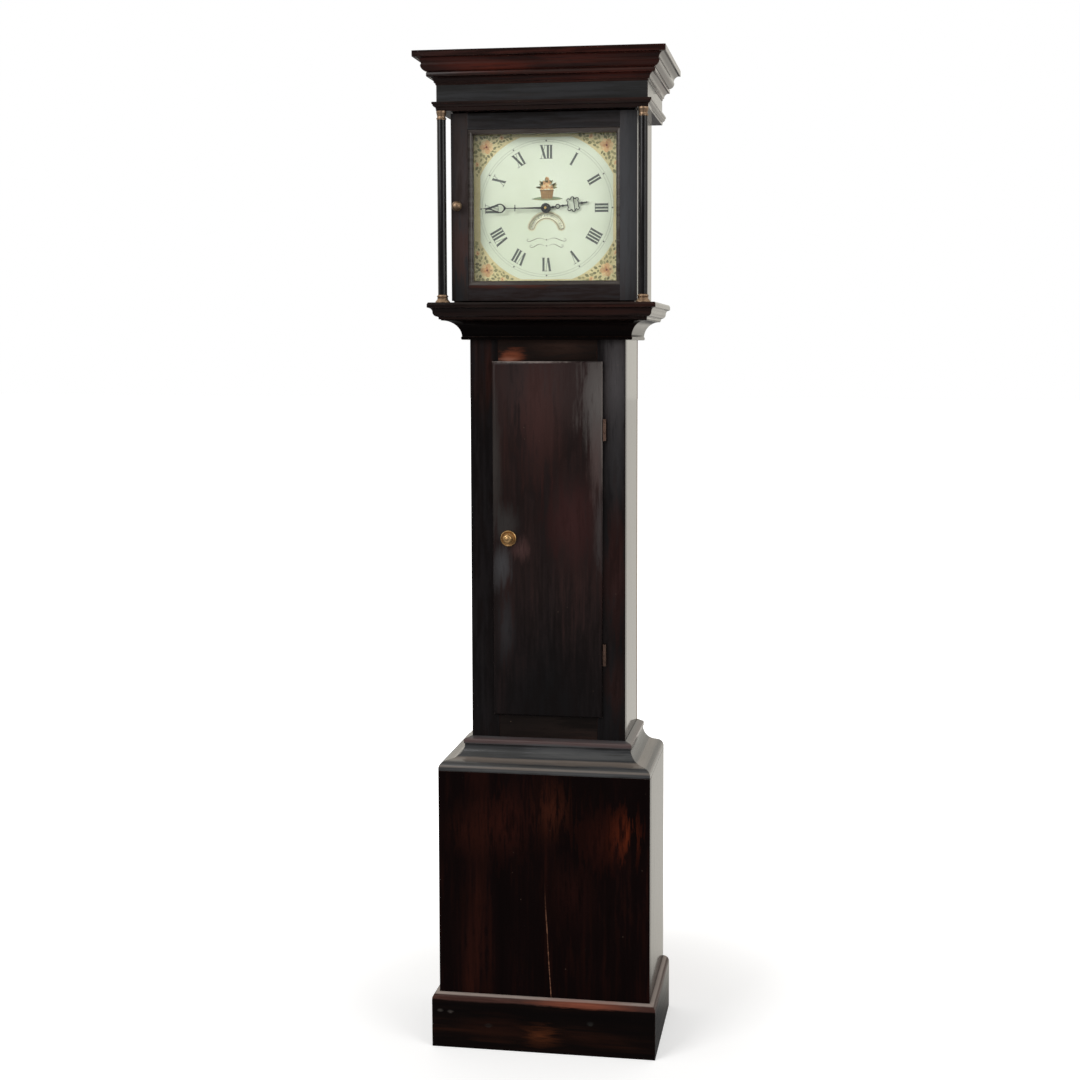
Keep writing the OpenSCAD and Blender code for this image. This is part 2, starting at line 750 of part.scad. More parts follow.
// The ovolo round the glass: four strips with a mitre at each corner
module hood_door_bead() {
    rear = glass_d + glass_t + 0.1;
    front = hood_d - 2.5;
    depth = front - rear;
    half_z = (light_top_z - light_z) / 2;
    mid_z = (light_top_z + light_z) / 2;
    lx = light_x - hairline;
    lz = half_z - hairline;
    section = concat([[0, 0], [glass_bead_w, 0], [glass_bead_w, depth * 0.35]],
        arc([0, depth * 0.3], depth * 0.7, 12, 90, 7));
    w = glass_bead_w;
    color(dark_wood) from_wall([0, mid_z], rear) for (s = [0:3]) {
        half_run = s % 2 == 0 ? lz : lx;
        edge = s % 2 == 0 ? lx : lz;
        rotate(90 * s) intersection() {
            translate([edge, half_run, 0]) rotate([90, 0, 0]) mirror([1, 0, 0])
                linear_extrude(2 * half_run) polygon(section);
            linear_extrude(depth + 1) polygon([[edge, half_run - hairline], [edge, -half_run + hairline],
                [edge - w, -half_run + w + hairline], [edge - w, half_run - w - hairline]]);
        }
    }
}

module hood_door_glass() {
    x = light_x - 0.5;
    color([0.8, 0.85, 0.85, 0.3]) slab(-x, x, glass_d, glass_d + glass_t, light_z + 0.5, light_top_z - 0.5);
}

module hood_door_knob() {
    color(gilt) from_wall([hood_knob_x, dial_z + 2], hood_d) {
        translate([0, 0, -11]) cylinder(r = 2.5, h = 12);
        rotate_extrude() polygon(concat([[0, 0], [6, 0], [6, 1.6], [4, 3], [4, 5]],
            arc([0, 12], 10.2, -35, 90, 10)));
    }
}

module hood_door_pins() {
    color(old_brass) {
        translate([pin_x, back_y - pin_d, hood_z - pin_reach + 0.4])
            cylinder(r = pin_r, h = hood_door_z - hood_z + pin_reach + 11);
        translate([pin_x, back_y - pin_d, hood_door_top_z - 11])
            cylinder(r = pin_r, h = architrave_z - hood_door_top_z + pin_reach + 10.6);
    }
}

// Dial, hands and motion work

// The arched date opening below the centre of the dial, with round ends
module date_slot() {
    sweep = date_sweep;
    out = date_slot_r + date_slot_half;
    low = date_slot_r - date_slot_half;
    left = at([0, 0], date_slot_r, 90 + sweep);
    right = at([0, 0], date_slot_r, 90 - sweep);
    translate([0, -date_drop]) polygon(concat(
        arc([0, 0], out, 90 - sweep, 90 + sweep, 30),
        arc(left, date_slot_half, 90 + sweep + 20, 90 + sweep + 160, 7),
        arc([0, 0], low, 90 + sweep, 90 - sweep, 30),
        arc(right, date_slot_half, 270 - sweep + 20, 270 - sweep + 160, 7)));
}

module dial_plate() {
    foot_x = plate_w / 2 - 8;
    foot_zs = [-50, 60];
    foot_r = 2.6;
    color(cream) from_wall(centre) {
        translate([0, 0, dial_d - dial_t]) linear_extrude(dial_t) difference() {
            square(dial_w, center = true);
            circle(hour_pipe_r + 1);
            date_slot();
        }
        for (x = [-foot_x, foot_x], z = foot_zs)
            translate([x, z, front_plate_d + plate_t])
                cylinder(r = foot_r, h = dial_stand - dial_t - plate_t);
        translate([0, -date_drop, date_d - 1.2])
            cylinder(r = date_stud_r, h = dial_d - dial_t - date_d + 1.2);
    }
}

hand_disc_r = 9.5;

// The minute hand along its length: a disc, a slim stem with a collar, and an open pointed spade
module minute_outline(hub) {
    k = minute_l / 130;
    spade = [[80, 0.9], [84, 5.5], [88, 8.6], [92, 9.5], [98, 8.4], [105, 5.4], [112, 2.6],
        [119, 1.2], [130, 0]];
    eye = [[84.5, 0], [86, 3.9], [89.5, 6.6], [93, 7.1], [98, 6], [104.5, 3.2], [110, 0.6], [111.5, 0]];
    difference() {
        union() {
            circle(hand_disc_r);
            polygon(both_halves([[hub, 2], [60 * k, 0.8], [81 * k, 0.8]]));
            translate([62 * k, 0]) square([1.6, 13] * k, center = true);
            translate([62 * k, 0]) circle(2 * k);
            polygon(both_halves(spade * k));
        }
        polygon(both_halves(eye * k));
        circle(hub);
    }
}

// The hour hand: a disc, a ring, a lobed open ornament with a bar across it, beads and a point
module hour_outline(hub) {
    k = hour_l / 88;
    rim = 1.6;
    module lobes(less) {
        translate([55 * k, 0]) circle(12 * k - less);
        for (p = [[46.5, 8.5], [63.5, 8.5], [55, 11.5]], s = [-1, 1])
            translate([p[0] * k, s * p[1] * k]) circle(4 * k - less);
    }
    difference() {
        union() {
            circle(hand_disc_r);
            polygon(both_halves([[hub, 1.6], [43 * k, 1]]));
            for (bead = [[14, 2.6], [23.7, 5], [34, 2.2], [72.5, 2.5], [82, 1.5]])
                translate([bead[0] * k, 0]) circle(bead[1] * k);
            lobes(0);
            polygon(both_halves([[66 * k, 1.3], [79 * k, 1.3], [88 * k, 0]]));
        }
        translate([23.7 * k, 0]) circle(3 * k);
        difference() {
            lobes(rim);
            translate([57 * k, 0]) square([rim, 40] * k, center = true);
        }
        circle(hub);
    }
}

minute_angle = 90 - rest_minute * 6;
hour_angle = 90 - (rest_hour + rest_minute / 60) * 30;

module minute_hand() {
    color(black_paint) from_wall(centre, minute_d) {
        linear_extrude(hand_t) rotate(minute_angle) minute_outline(cannon_r);
        translate([0, 0, hand_t]) difference() {
            cylinder(r1 = 8, r2 = 6.5, h = 2.2);
            translate([0, 0, -1]) cylinder(r = stud_r + 0.6, h = 5);
        }
    }
}

module cannon_wheel() {
    turn = bearing(centre, great_p) + 180 / cannon_n;
    color(old_brass) from_wall(centre) difference() {
        union() {
            translate([0, 0, cannon_d]) wheel(cannon_n, report_m, turn, wheel_t, cannon_r, 1, 0);
            translate([0, 0, cannon_d]) cylinder(r = cannon_r, h = minute_d + hand_t - cannon_d);
        }
        translate([0, 0, cannon_d - 1]) cylinder(r = stud_r + pivot_play, h = 50);
    }
}

module hour_hand() {
    color(black_paint) from_wall(centre, hour_d)
        linear_extrude(hand_t) rotate(hour_angle) hour_outline(hour_pipe_r);
}

module hour_wheel() {
    turn = bearing(centre, great_p);
    color(old_brass) from_wall(centre, hour_wheel_d) difference() {
        union() {
            wheel(hour_n, hour_m, turn, wheel_t, hour_pipe_r);
            cylinder(r = hour_pipe_r, h = hour_d + hand_t - hour_wheel_d);
        }
        translate([0, 0, -1]) cylinder(r = cannon_r + pivot_play, h = 40);
    }
}

module date_disc() {
    color(cream) from_wall([0, dial_z - date_drop], date_d) difference() {
        linear_extrude(1) union() {
            circle(date_r, $fn = 128);
            for (k = [0:date_teeth - 1]) rotate(90 + 360 * k / date_teeth)
                translate([date_r - 1, -1.4]) square([date_tooth_l + 1, 2.8]);
        }
        translate([0, 0, -1]) cylinder(r = date_stud_r + pivot_play, h = 4);
    }
}

// Movement

pillar_x = plate_w / 2 - 6;
pillar_zs = [seat_z + 8, seat_z + plate_h - 8];
great_pivot_r = 2.5;

module plate(d, front) {
    from_wall([0, 0], d) linear_extrude(plate_t) difference() {
        translate([-plate_w / 2, seat_z]) square([plate_w, plate_h]);
        for (p = [second_p, escape_p, hoop_p, warning_p, fly_p, hammer_p])
            translate(p) circle(pivot_r + pivot_play);
        for (p = [great_p, strike_p]) translate(p) circle(great_pivot_r + pivot_play);
        translate(anchor_p) circle(front ? pivot_r + pivot_play : 6);
        for (x = [-pillar_x, pillar_x], z = pillar_zs) translate([x, z]) circle(2.5);
        if (front) translate(centre) circle(stud_r);
        else translate(count_p) circle(stud_r);
    }
}

module movement_plates() {
    color(old_brass) {
        plate(front_plate_d, true);
        plate(back_plate_d, false);
    }
}

// Turned pillars riveted through the plates, and the two studs that wheels run on
module plate_pillars() {
    color(old_brass) {
        for (x = [-pillar_x, pillar_x], z = pillar_zs) from_wall([x, z], back_plate_d) {
            cylinder(r = 2.5, h = plate_gap + 2 * plate_t);
            translate([0, 0, plate_t]) cylinder(r = 4.5, h = plate_gap);
        }
        from_wall(centre, front_plate_d) cylinder(r = stud_r, h = minute_d + 6 - front_plate_d);
        from_wall(count_p, count_layer - 3) cylinder(r = stud_r, h = 5 + plate_t + 3);
    }
}

module back_cock() {
    foot_z = anchor_p[1] + jaw_h;
    bridge_t = 3;
    slit = 1;
    color(old_brass) difference() {
        union() {
            slab(-11, 11, cock_d, cock_d + bridge_t, anchor_p[1] - 9, foot_z + 4);
            slab(-11, 11, cock_d, back_plate_d, foot_z, foot_z + 4);
            slab(-11, 11, back_plate_d - 2, back_plate_d, foot_z, foot_z + 6);
            for (x = [-6, slit])
                slab(x, x + 6 - slit, pendulum_d - 5, cock_d, anchor_p[1] + 2, anchor_p[1] + jaw_h);
        }
        from_wall(anchor_p, cock_d - 1) cylinder(r = pivot_r + pivot_play, h = bridge_t + 2);
    }
}

module bell() {
    skirt = 8;
    color(old_brass) translate([0, back_y - bell_d, bell_z]) difference() {
        rotate_extrude() polygon(concat([[bell_r - bell_wall, 0], [bell_r, 0], [bell_r - 1.5, 6]],
            oval([0, skirt], bell_r - 3, bell_h - skirt, 0, 90, 9),
            oval([0, skirt], bell_r - 3 - bell_wall, bell_h - skirt - bell_wall, 90, 0, 9)));
        cylinder(r = bell_stem_r + 0.1, h = bell_h + 5);
    }
}

// A round rod from a to b with a rounded bend of radius bend at each end
module rod_between(a, b, r, bend) {
    v = b - a;
    l = norm(v);
    for (end = [a, b]) translate(end) sphere(bend);
    translate(a) rotate([0, acos(v[2] / l), atan2(v[1], v[0])]) cylinder(r = r, h = l);
}

module bell_stand() {
    foot_t = 2.5;
    foot_top_z = seat_z + plate_h - 4;
    over_z = bell_z + bell_h + 8;
    post = [26, back_y - back_plate_d + foot_t + bell_stem_r - 1, over_z];
    crown = [0, back_y - bell_d, over_z];
    low_z = bell_z + bell_h - 6;
    color(dark_steel) {
        slab(post[0] - 6, post[0] + 6, back_plate_d - foot_t, back_plate_d, foot_top_z - 20, foot_top_z);
        translate([post[0], post[1], foot_top_z - 16])
            cylinder(r = bell_stem_r, h = over_z - foot_top_z + 16);
        rod_between(post, crown, bell_stem_r - 0.5, bell_stem_r + 0.4);
        translate([crown[0], crown[1], low_z]) cylinder(r = bell_stem_r, h = over_z - low_z);
        for (z = [low_z, bell_z + bell_h]) translate([crown[0], crown[1], z]) cylinder(r = 5.5, h = 2.5);
    }
}

// A grooved pulley that a chain of radius chain_r runs round at radius run
module grooved(run, half, flange) {
    core = run - chain_r - 0.6;
    rotate_extrude() polygon([[0, -half], [run + flange, -half], [run + flange, -half + 1.6],
        [core, -chain_r - 0.5], [core, chain_r + 0.5], [run + flange, half - 1.6],
        [run + flange, half], [0, half]]);
}

module great_wheel() {
    to_second = bearing(great_p, second_p);
    to_centre = bearing(great_p, centre);
    color(old_brass) from_wall(great_p) {
        translate([0, 0, back_plate_d + plate_t + 0.4]) cylinder(r = 3.2, h = plate_gap - 0.8);
        translate([0, 0, back_plate_d + 0.3])
            cylinder(r = great_pivot_r, h = hour_wheel_d + wheel_t + 1 - back_plate_d);
        translate([0, 0, great_layer]) wheel(great_n, train_m, to_second, wheel_t, 3.2);
        translate([0, 0, sprocket_d]) grooved(chain_run_r, sprocket_half, 4);
        translate([0, 0, cannon_d]) wheel(report_n, report_m, to_centre, wheel_t, 3.2, 1);
        translate([0, 0, hour_wheel_d]) pinion(nut_n, hour_m, to_centre + 180 / nut_n, wheel_t);
    }
}

module second_wheel() {
    color(old_brass) from_wall(second_p) {
        arbor();
        translate([0, 0, great_layer - 3])
            pinion(leaves_n, train_m, leaf_turn(great_p, second_p, leaves_n), wheel_t + 6);
        translate([0, 0, second_layer])
            wheel(second_n, train_m, bearing(second_p, escape_p), wheel_t, arbor_r);
    }
}

module escape_wheel() {
    root_r = escape_r - 4.5;
    step = 360 / escape_n;
    color(old_brass) from_wall(escape_p) {
        arbor();
        translate([0, 0, second_layer - 3])
            pinion(leaves_n, train_m, leaf_turn(second_p, escape_p, leaves_n), wheel_t + 6);
        translate([0, 0, escape_layer]) linear_extrude(1.4) difference() {
            polygon([for (i = [0:escape_n - 1]) each [
                [root_r * cos(i * step), root_r * sin(i * step)],
                [escape_r * cos(i * step + 3.4), escape_r * sin(i * step + 3.4)],
                [escape_r * cos(i * step + 4.4), escape_r * sin(i * step + 4.4)],
                [root_r * cos(i * step + 8), root_r * sin(i * step + 8)]
            ]]);
            difference() {
                circle(root_r - 2.5);
                circle(arbor_r + 3);
                for (k = [0:3]) rotate(90 * k) translate([0, -1.2]) square([root_r, 2.4]);
            }
        }
    }
}

// The anchor, its arbor and the crutch that the pendulum rod passes through
module anchor() {
    lift = 1.5;
    reach = escape_r + lift;
    nib = [reach * sin(anchor_span), reach * cos(anchor_span) + escape_p[1] - anchor_p[1]];
    foot = -crutch_l;
    color(dark_steel) from_wall(anchor_p) {
        translate([0, 0, back_plate_d + plate_t + 0.4]) cylinder(r = arbor_r, h = plate_gap - 0.8);
        translate([0, 0, cock_d + 0.3]) cylinder(r = pivot_r, h = front_plate_d + plate_t - cock_d - 0.6);
        translate([0, 0, cock_d + 3.4]) cylinder(r = arbor_r, h = plate_gap);
        translate([0, 0, escape_layer - 1.3]) linear_extrude(4) difference() {
            union() {
                circle(5);
                for (s = [-1, 1]) polygon([[0, 4.5], [s * (nib[0] + 2.5), nib[1] + 5.5],
                    [s * (nib[0] + 3.5), nib[1] + 0.5], [s * nib[0], nib[1]],
                    [s * (nib[0] - 0.8), nib[1] + 2.8], [0, 0]]);
            }
            translate([0, escape_p[1] - anchor_p[1]]) circle(escape_r + lift);
        }
        translate([0, 0, crutch_d]) linear_extrude(2) {
            circle(4);
            translate([-1.6, foot]) square([3.2, crutch_l]);
            translate([-5.2, foot - 3]) square([10.4, 4]);
        }
        for (s = [-1, 1]) translate([s * 4.2 - 1, foot - 3, pendulum_d - 6])
            cube([2, 4, crutch_d - pendulum_d + 7]);
    }
}

module strike_great_wheel() {
    pin_ring = pitch_r(strike_n, train_m) - 2.8 * train_m;
    color(old_brass) from_wall(strike_p) {
        translate([0, 0, back_plate_d + plate_t + 0.4]) cylinder(r = 3.2, h = plate_gap - 0.8);
        translate([0, 0, back_plate_d + 0.3]) cylinder(r = great_pivot_r, h = plate_gap + 2 * plate_t - 0.6);
        translate([0, 0, count_layer - 0.5]) cylinder(r = arbor_r, h = back_plate_d - count_layer + 2);
        translate([0, 0, strike_layer]) wheel(strike_n, train_m, bearing(strike_p, hoop_p), wheel_t, 3.2);
        for (k = [0:hammer_pins - 1]) rotate(360 * k / hammer_pins)
            translate([pin_ring, 0, strike_layer - 5]) cylinder(r = 0.9, h = 6);
        translate([0, 0, sprocket_d]) grooved(chain_run_r, sprocket_half, 4);
        translate([0, 0, count_layer])
            pinion(leaves_n, train_m, bearing(strike_p, count_p) + 180 / leaves_n, 2.6);
    }
}

// The hoop is a ring on the wheel's face with one gap, where the locking lever drops in
module hoop_wheel() {
    color(old_brass) from_wall(hoop_p) {
        arbor(slim_arbor_r);
        translate([0, 0, strike_layer - 3])
            pinion(small_leaves_n, train_m, leaf_turn(strike_p, hoop_p, small_leaves_n), wheel_t + 6);
        translate([0, 0, hoop_layer]) {
            wheel(hoop_n, hoop_m, bearing(hoop_p, warning_p), 1.6, arbor_r);
            translate([0, 0, 1.6]) linear_extrude(3) difference() {
                circle(16.5);
                circle(15);
                translate([0, -2.5]) square([20, 5]);
            }
        }
    }
}

module warning_wheel() {
    color(old_brass) from_wall(warning_p) {
        arbor(slim_arbor_r);
        translate([0, 0, hoop_layer - 3])
            pinion(small_leaves_n, hoop_m, leaf_turn(hoop_p, warning_p, small_leaves_n), 7.6);
        translate([0, 0, warning_layer]) wheel(warning_n, warning_m, bearing(warning_p, fly_p), 1.6, arbor_r);
    }
}

module fly() {
    vane = 14.5;
    color(old_brass) from_wall(fly_p) {
        arbor(slim_arbor_r);
        translate([0, 0, warning_layer - 3])
            pinion(small_leaves_n, warning_m, leaf_turn(warning_p, fly_p, small_leaves_n), 7.6);
        translate([-vane, -0.4, fly_layer]) cube([2 * vane, 0.8, 15]);
        translate([0, 0, fly_layer + 2]) cylinder(r = 2.4, h = 11);
    }
}

// The countwheel's notches stand after 1, 2, 3 and so on up to 12 blows
module countwheel() {
    rim = pitch_r(count_n, train_m) - 3.4;
    total = 78;
    function blows(h) = h * (h + 1) / 2;
    color(old_brass) from_wall(count_p, count_layer) difference() {
        union() {
            wheel(count_n, train_m, bearing(count_p, strike_p), 1.4, stud_r, 1.2, 0);
            translate([0, 0, 1.4]) linear_extrude(1.2) difference() {
                circle(rim);
                for (h = [1:12]) rotate(-360 * blows(h) / total)
                    translate([rim - 1.6, -0.55]) square([4, 1.1]);
            }
        }
        translate([0, 0, -1]) cylinder(r = stud_r + pivot_play, h = 6);
    }
}

module hammer() {
    head_z = bell_z + 3 - hammer_p[1];
    head_x = -bell_r - 2 - hammer_p[0];
    tail_end = [strike_p[0] + 1.5 - hammer_p[0], strike_p[1] + pitch_r(strike_n, train_m) - hammer_p[1]];
    tail_l = norm(tail_end);
    color(dark_steel) from_wall(hammer_p) {
        arbor();
        translate([-1.5, 0, bell_d - 2]) cube([3, head_z, 4]);
        translate([head_x - 13, head_z, bell_d]) rotate([0, 90, 0]) cylinder(r = 5, h = 13);
        translate([0, 0, strike_layer - 5]) rotate(atan2(tail_end[1], tail_end[0]))
            translate([0, -1]) cube([tail_l, 2, 3]);
        translate([0, 0, strike_layer - 5.5]) cylinder(r = 3.2, h = 4);
    }
}

// Pendulum

module pendulum_rod() {
    block_h = 16;
    spring_h = 26;
    color(dark_steel) {
        from_wall([0, pendulum_top_z], pendulum_d) {
            translate([-0.2, -spring_h - 2, -3.5]) cube([0.4, spring_h + jaw_h + 4, 7]);
            translate([-4, jaw_h + 1, -3.5]) cube([8, 4, 7]);
            translate([-3.2, -spring_h - block_h, -4]) cube([6.4, block_h, 8]);
        }
        translate([0, back_y - pendulum_d, nut_z - 12])
            cylinder(r = rod_r, h = pendulum_top_z - spring_h - block_h + 1 - nut_z + 12);
        translate([0, back_y - pendulum_d, nut_z - 3]) cylinder(r = 8, h = 7, $fn = 12);
    }
}

module pendulum_bob() {
    edge = 3;
    dome = (bob_t - edge) / 2;
    sphere_r = (bob_r * bob_r + dome * dome) / (2 * dome);
    span = asin(bob_r / sphere_r);
    color(old_brass) difference() {
        from_wall([0, bob_z], pendulum_d) rotate_extrude() polygon(concat(
            arc([0, bob_t / 2 - sphere_r], sphere_r, 90, 90 - span, 8),
            arc([0, sphere_r - bob_t / 2], sphere_r, span - 90, -90, 8)));
        translate([0, back_y - pendulum_d, bob_z - bob_r - 1]) cylinder(r = rod_r + 0.1, h = 2 * bob_r + 2);
    }
}

// Weights and chain

module drive_weight() {
    strap_x = 5;
    strap_out = sprocket_half + 1.2;
    color(cast_iron) {
        translate([0, back_y - sprocket_d, weight_z]) rotate_extrude() polygon([[0, 0], [weight_r - 3, 0],
            [weight_r, 3], [weight_r, weight_h - 6], [weight_r - 7, weight_h], [0, weight_h]]);
        translate([0, back_y - sprocket_d, weight_top_z - 1]) cylinder(r = 4, h = 8);
        slab(-strap_x, strap_x, sprocket_d - strap_out - 2, sprocket_d + strap_out + 2,
            weight_top_z + 6, weight_top_z + 10);
        for (s = [-1, 1]) slab(-strap_x, strap_x, sprocket_d + s * (strap_out + 1) - 1,
            sprocket_d + s * (strap_out + 1) + 1, weight_top_z + 6, pulley_z + 6);
        from_wall([0, pulley_z], sprocket_d - strap_out - 3) cylinder(r = 2, h = 2 * strap_out + 6);
    }
}

module weight_pulley() {
    color(old_brass) from_wall([0, pulley_z], sprocket_d) difference() {
        grooved(pulley_r, sprocket_half, 4);
        translate([0, 0, -10]) cylinder(r = 2 + pivot_play, h = 20);
    }
}

module ring_weight() {
    color(cast_iron) from_wall([0, ring_z], ring_d) rotate_extrude()
        translate([ring_r, 0]) circle(ring_t, $fn = 32);
}

// The endless chain, as a smooth rod of the chain's size: straight runs and half turns
module half_turn(r, low) {
    rotate([0, 0, low ? 180 : 0]) rotate_extrude(angle = 180) translate([r, 0]) circle(chain_r, $fn = 32);
}

// From the outer side of one sprocket over it, down round the pulley and over the other
module weight_chain() {
    color(dark_steel) {
        from_wall([0, pulley_z], sprocket_d) half_turn(pulley_r, true);
        both_sides() {
            translate([pulley_r, back_y - sprocket_d, pulley_z])
                cylinder(r = chain_r, h = great_p[1] - pulley_z);
            from_wall(great_p, sprocket_d) half_turn(chain_run_r, false);
        }
    }
}

// From the outer sides of the sprockets down through the seatboard and through the ring
module ring_chain() {
    loop_z = ring_z + ring_r;
    color(dark_steel) {
        for (s = [-1, 1]) {
            bend = [s * chain_out_x, back_y - sprocket_d, chain_bend_z];
            translate(bend) cylinder(r = chain_r, h = great_p[1] - chain_bend_z);
            low = [0, back_y - ring_d - s * chain_loop_r, loop_z];
            rod_between(bend, low + [0, 0, ring_t + 3], chain_r, chain_bend_r);
            translate(low) cylinder(r = chain_r, h = ring_t + 3);
        }
        translate([0, back_y - ring_d, loop_z]) rotate([90, 0, 90]) half_turn(chain_loop_r, true);
    }
}

backboard();
base_front();
base_sides();
plinth();
base_cove();
trunk_stiles();
trunk_rails();
trunk_sides();
throat_moulding();
seatboard();
hinge_frame_leaves();
trunk_door();
hinge_door_leaves();
knob_rose();
trunk_knob();
trunk_catch();
hood_sides();
hood_head_rail();
hood_top_board();
hood_frieze();
hood_cornice();
hood_architrave();
hood_sill();
dial_mask();
hood_columns();
column_mounts();
hood_door_stiles();
hood_door_rails();
hood_door_bead();
hood_door_glass();
hood_door_knob();
hood_door_pins();
dial_plate();
movement_plates();
plate_pillars();
back_cock();
bell();
bell_stand();
great_wheel();
second_wheel();
escape_wheel();
anchor();
minute_hand();
cannon_wheel();
hour_hand();
hour_wheel();
date_disc();
strike_great_wheel();
hoop_wheel();
warning_wheel();
fly();
countwheel();
hammer();
pendulum_rod();
pendulum_bob();
drive_weight();
weight_pulley();
ring_weight();
weight_chain();
ring_chain();
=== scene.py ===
import math
import random
import bmesh
import bpy
from mathutils import Matrix, Vector


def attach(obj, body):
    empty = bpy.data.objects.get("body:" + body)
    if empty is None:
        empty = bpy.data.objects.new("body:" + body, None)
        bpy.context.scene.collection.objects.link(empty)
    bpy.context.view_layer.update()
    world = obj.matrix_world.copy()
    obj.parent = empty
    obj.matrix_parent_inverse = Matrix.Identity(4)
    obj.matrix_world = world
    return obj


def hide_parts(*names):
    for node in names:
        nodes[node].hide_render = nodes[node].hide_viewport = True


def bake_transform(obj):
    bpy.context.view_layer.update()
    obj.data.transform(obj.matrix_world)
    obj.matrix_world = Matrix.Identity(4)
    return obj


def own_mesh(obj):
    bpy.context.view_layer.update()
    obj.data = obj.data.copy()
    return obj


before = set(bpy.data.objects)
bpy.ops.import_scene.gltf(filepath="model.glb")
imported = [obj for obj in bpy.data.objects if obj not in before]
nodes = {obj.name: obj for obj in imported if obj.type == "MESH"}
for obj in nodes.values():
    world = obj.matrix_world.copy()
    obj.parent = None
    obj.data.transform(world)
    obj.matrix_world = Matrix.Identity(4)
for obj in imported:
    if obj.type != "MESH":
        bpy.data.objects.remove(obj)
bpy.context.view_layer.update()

MM = 0.001

# Places of the clock, in metres: x to the right, y away from the front, z up
CORNICE_FACE = -0.143
PLINTH_FACE = -0.116
BASE_FACE = -0.103
HOOD_DOOR_FACE = -0.082
TRUNK_DOOR_FACE = -0.055
DIAL_FACE = -0.050
DATE_FACE = -0.0454
TRUNK_FACE = -0.045
FLOOR_Z = 0.0
DIAL_Z = 1.7025
CHAIN_Y = 0.025
SPROCKET_X = 0.0299888
SPROCKET_Z = 1.6794888
SPROCKET_RUN = 0.013  # radius at which the chain runs over a sprocket
PULLEY_Z = 0.358
CHAIN_BEND_Z = 1.612
RING_Y = -0.015
RING_TOP = 1.482
RING_EYE = 0.0061  # radius of the chain's bend in the ring weight's eye

EASED_ANGLE = math.radians(32)  # an edge that turns more than this is eased
QUARTER = math.pi / 2


def tone(red, green, blue):
    """A colour as a painter would name it, 0 to 255, made linear."""
    def line(c):
        c /= 255
        return c / 12.92 if c <= 0.04045 else ((c + 0.055) / 1.055) ** 2.4
    return (line(red), line(green), line(blue), 1.0)


def arc(x, z, radius, start, end, count):
    """Points round a centre from one angle to another, both ends in."""
    return [(x + radius * math.cos(a), z + radius * math.sin(a))
            for a in (start + (end - start) * k / count for k in range(count + 1))]


def stand(name, data):
    """A named object in the scene."""
    thing = bpy.data.objects.new(name, data)
    bpy.context.scene.collection.objects.link(thing)
    return thing


def seen_mesh(thing):
    """The mesh that an object shows."""
    return bpy.data.meshes.new_from_object(thing.evaluated_get(bpy.context.evaluated_depsgraph_get()))


def made_plain(piece):
    """Applies a piece's modifiers."""
    mesh = seen_mesh(piece)
    piece.modifiers.clear()
    piece.data = mesh
    return mesh


# Finishes

class Wiring:
    """Puts nodes into a tree and joins them."""

    def __init__(self, tree):
        self.tree = tree

    def put(self, socket, value):
        if isinstance(value, bpy.types.NodeSocket):
            self.tree.links.new(value, socket)
        else:
            socket.default_value = value

    def node(self, kind, outlet=0, settings=None, **inputs):
        """A new node's outlet. An input goes by its name, with _ for a space, or its number, as in i0."""
        made = self.tree.nodes.new(kind)
        for key, value in (settings or {}).items():
            setattr(made, key, value)
        for key, value in inputs.items():
            where = int(key[1:]) if key[0] == "i" and key[1:].isdigit() else key.replace("_", " ")
            self.put(made.inputs[where], value)
        return made.outputs[outlet]

    def reckon(self, way, a, b=0.0, **third):
        return self.node("ShaderNodeMath", 0, {"operation": way}, i0=a, i1=b, **third)

    def times(self, a, b):
        return self.reckon("MULTIPLY", a, b)

    def plus(self, a, b):
        return self.reckon("ADD", a, b)

    def between(self, value, low, high, to_low=0.0, to_high=1.0):
        """Goes smoothly from to_low to to_high while the value goes from low to high."""
        return self.node("ShaderNodeMapRange", 0, {"interpolation_type": "SMOOTHSTEP"},
                         i0=value, i1=low, i2=high, i3=to_low, i4=to_high)


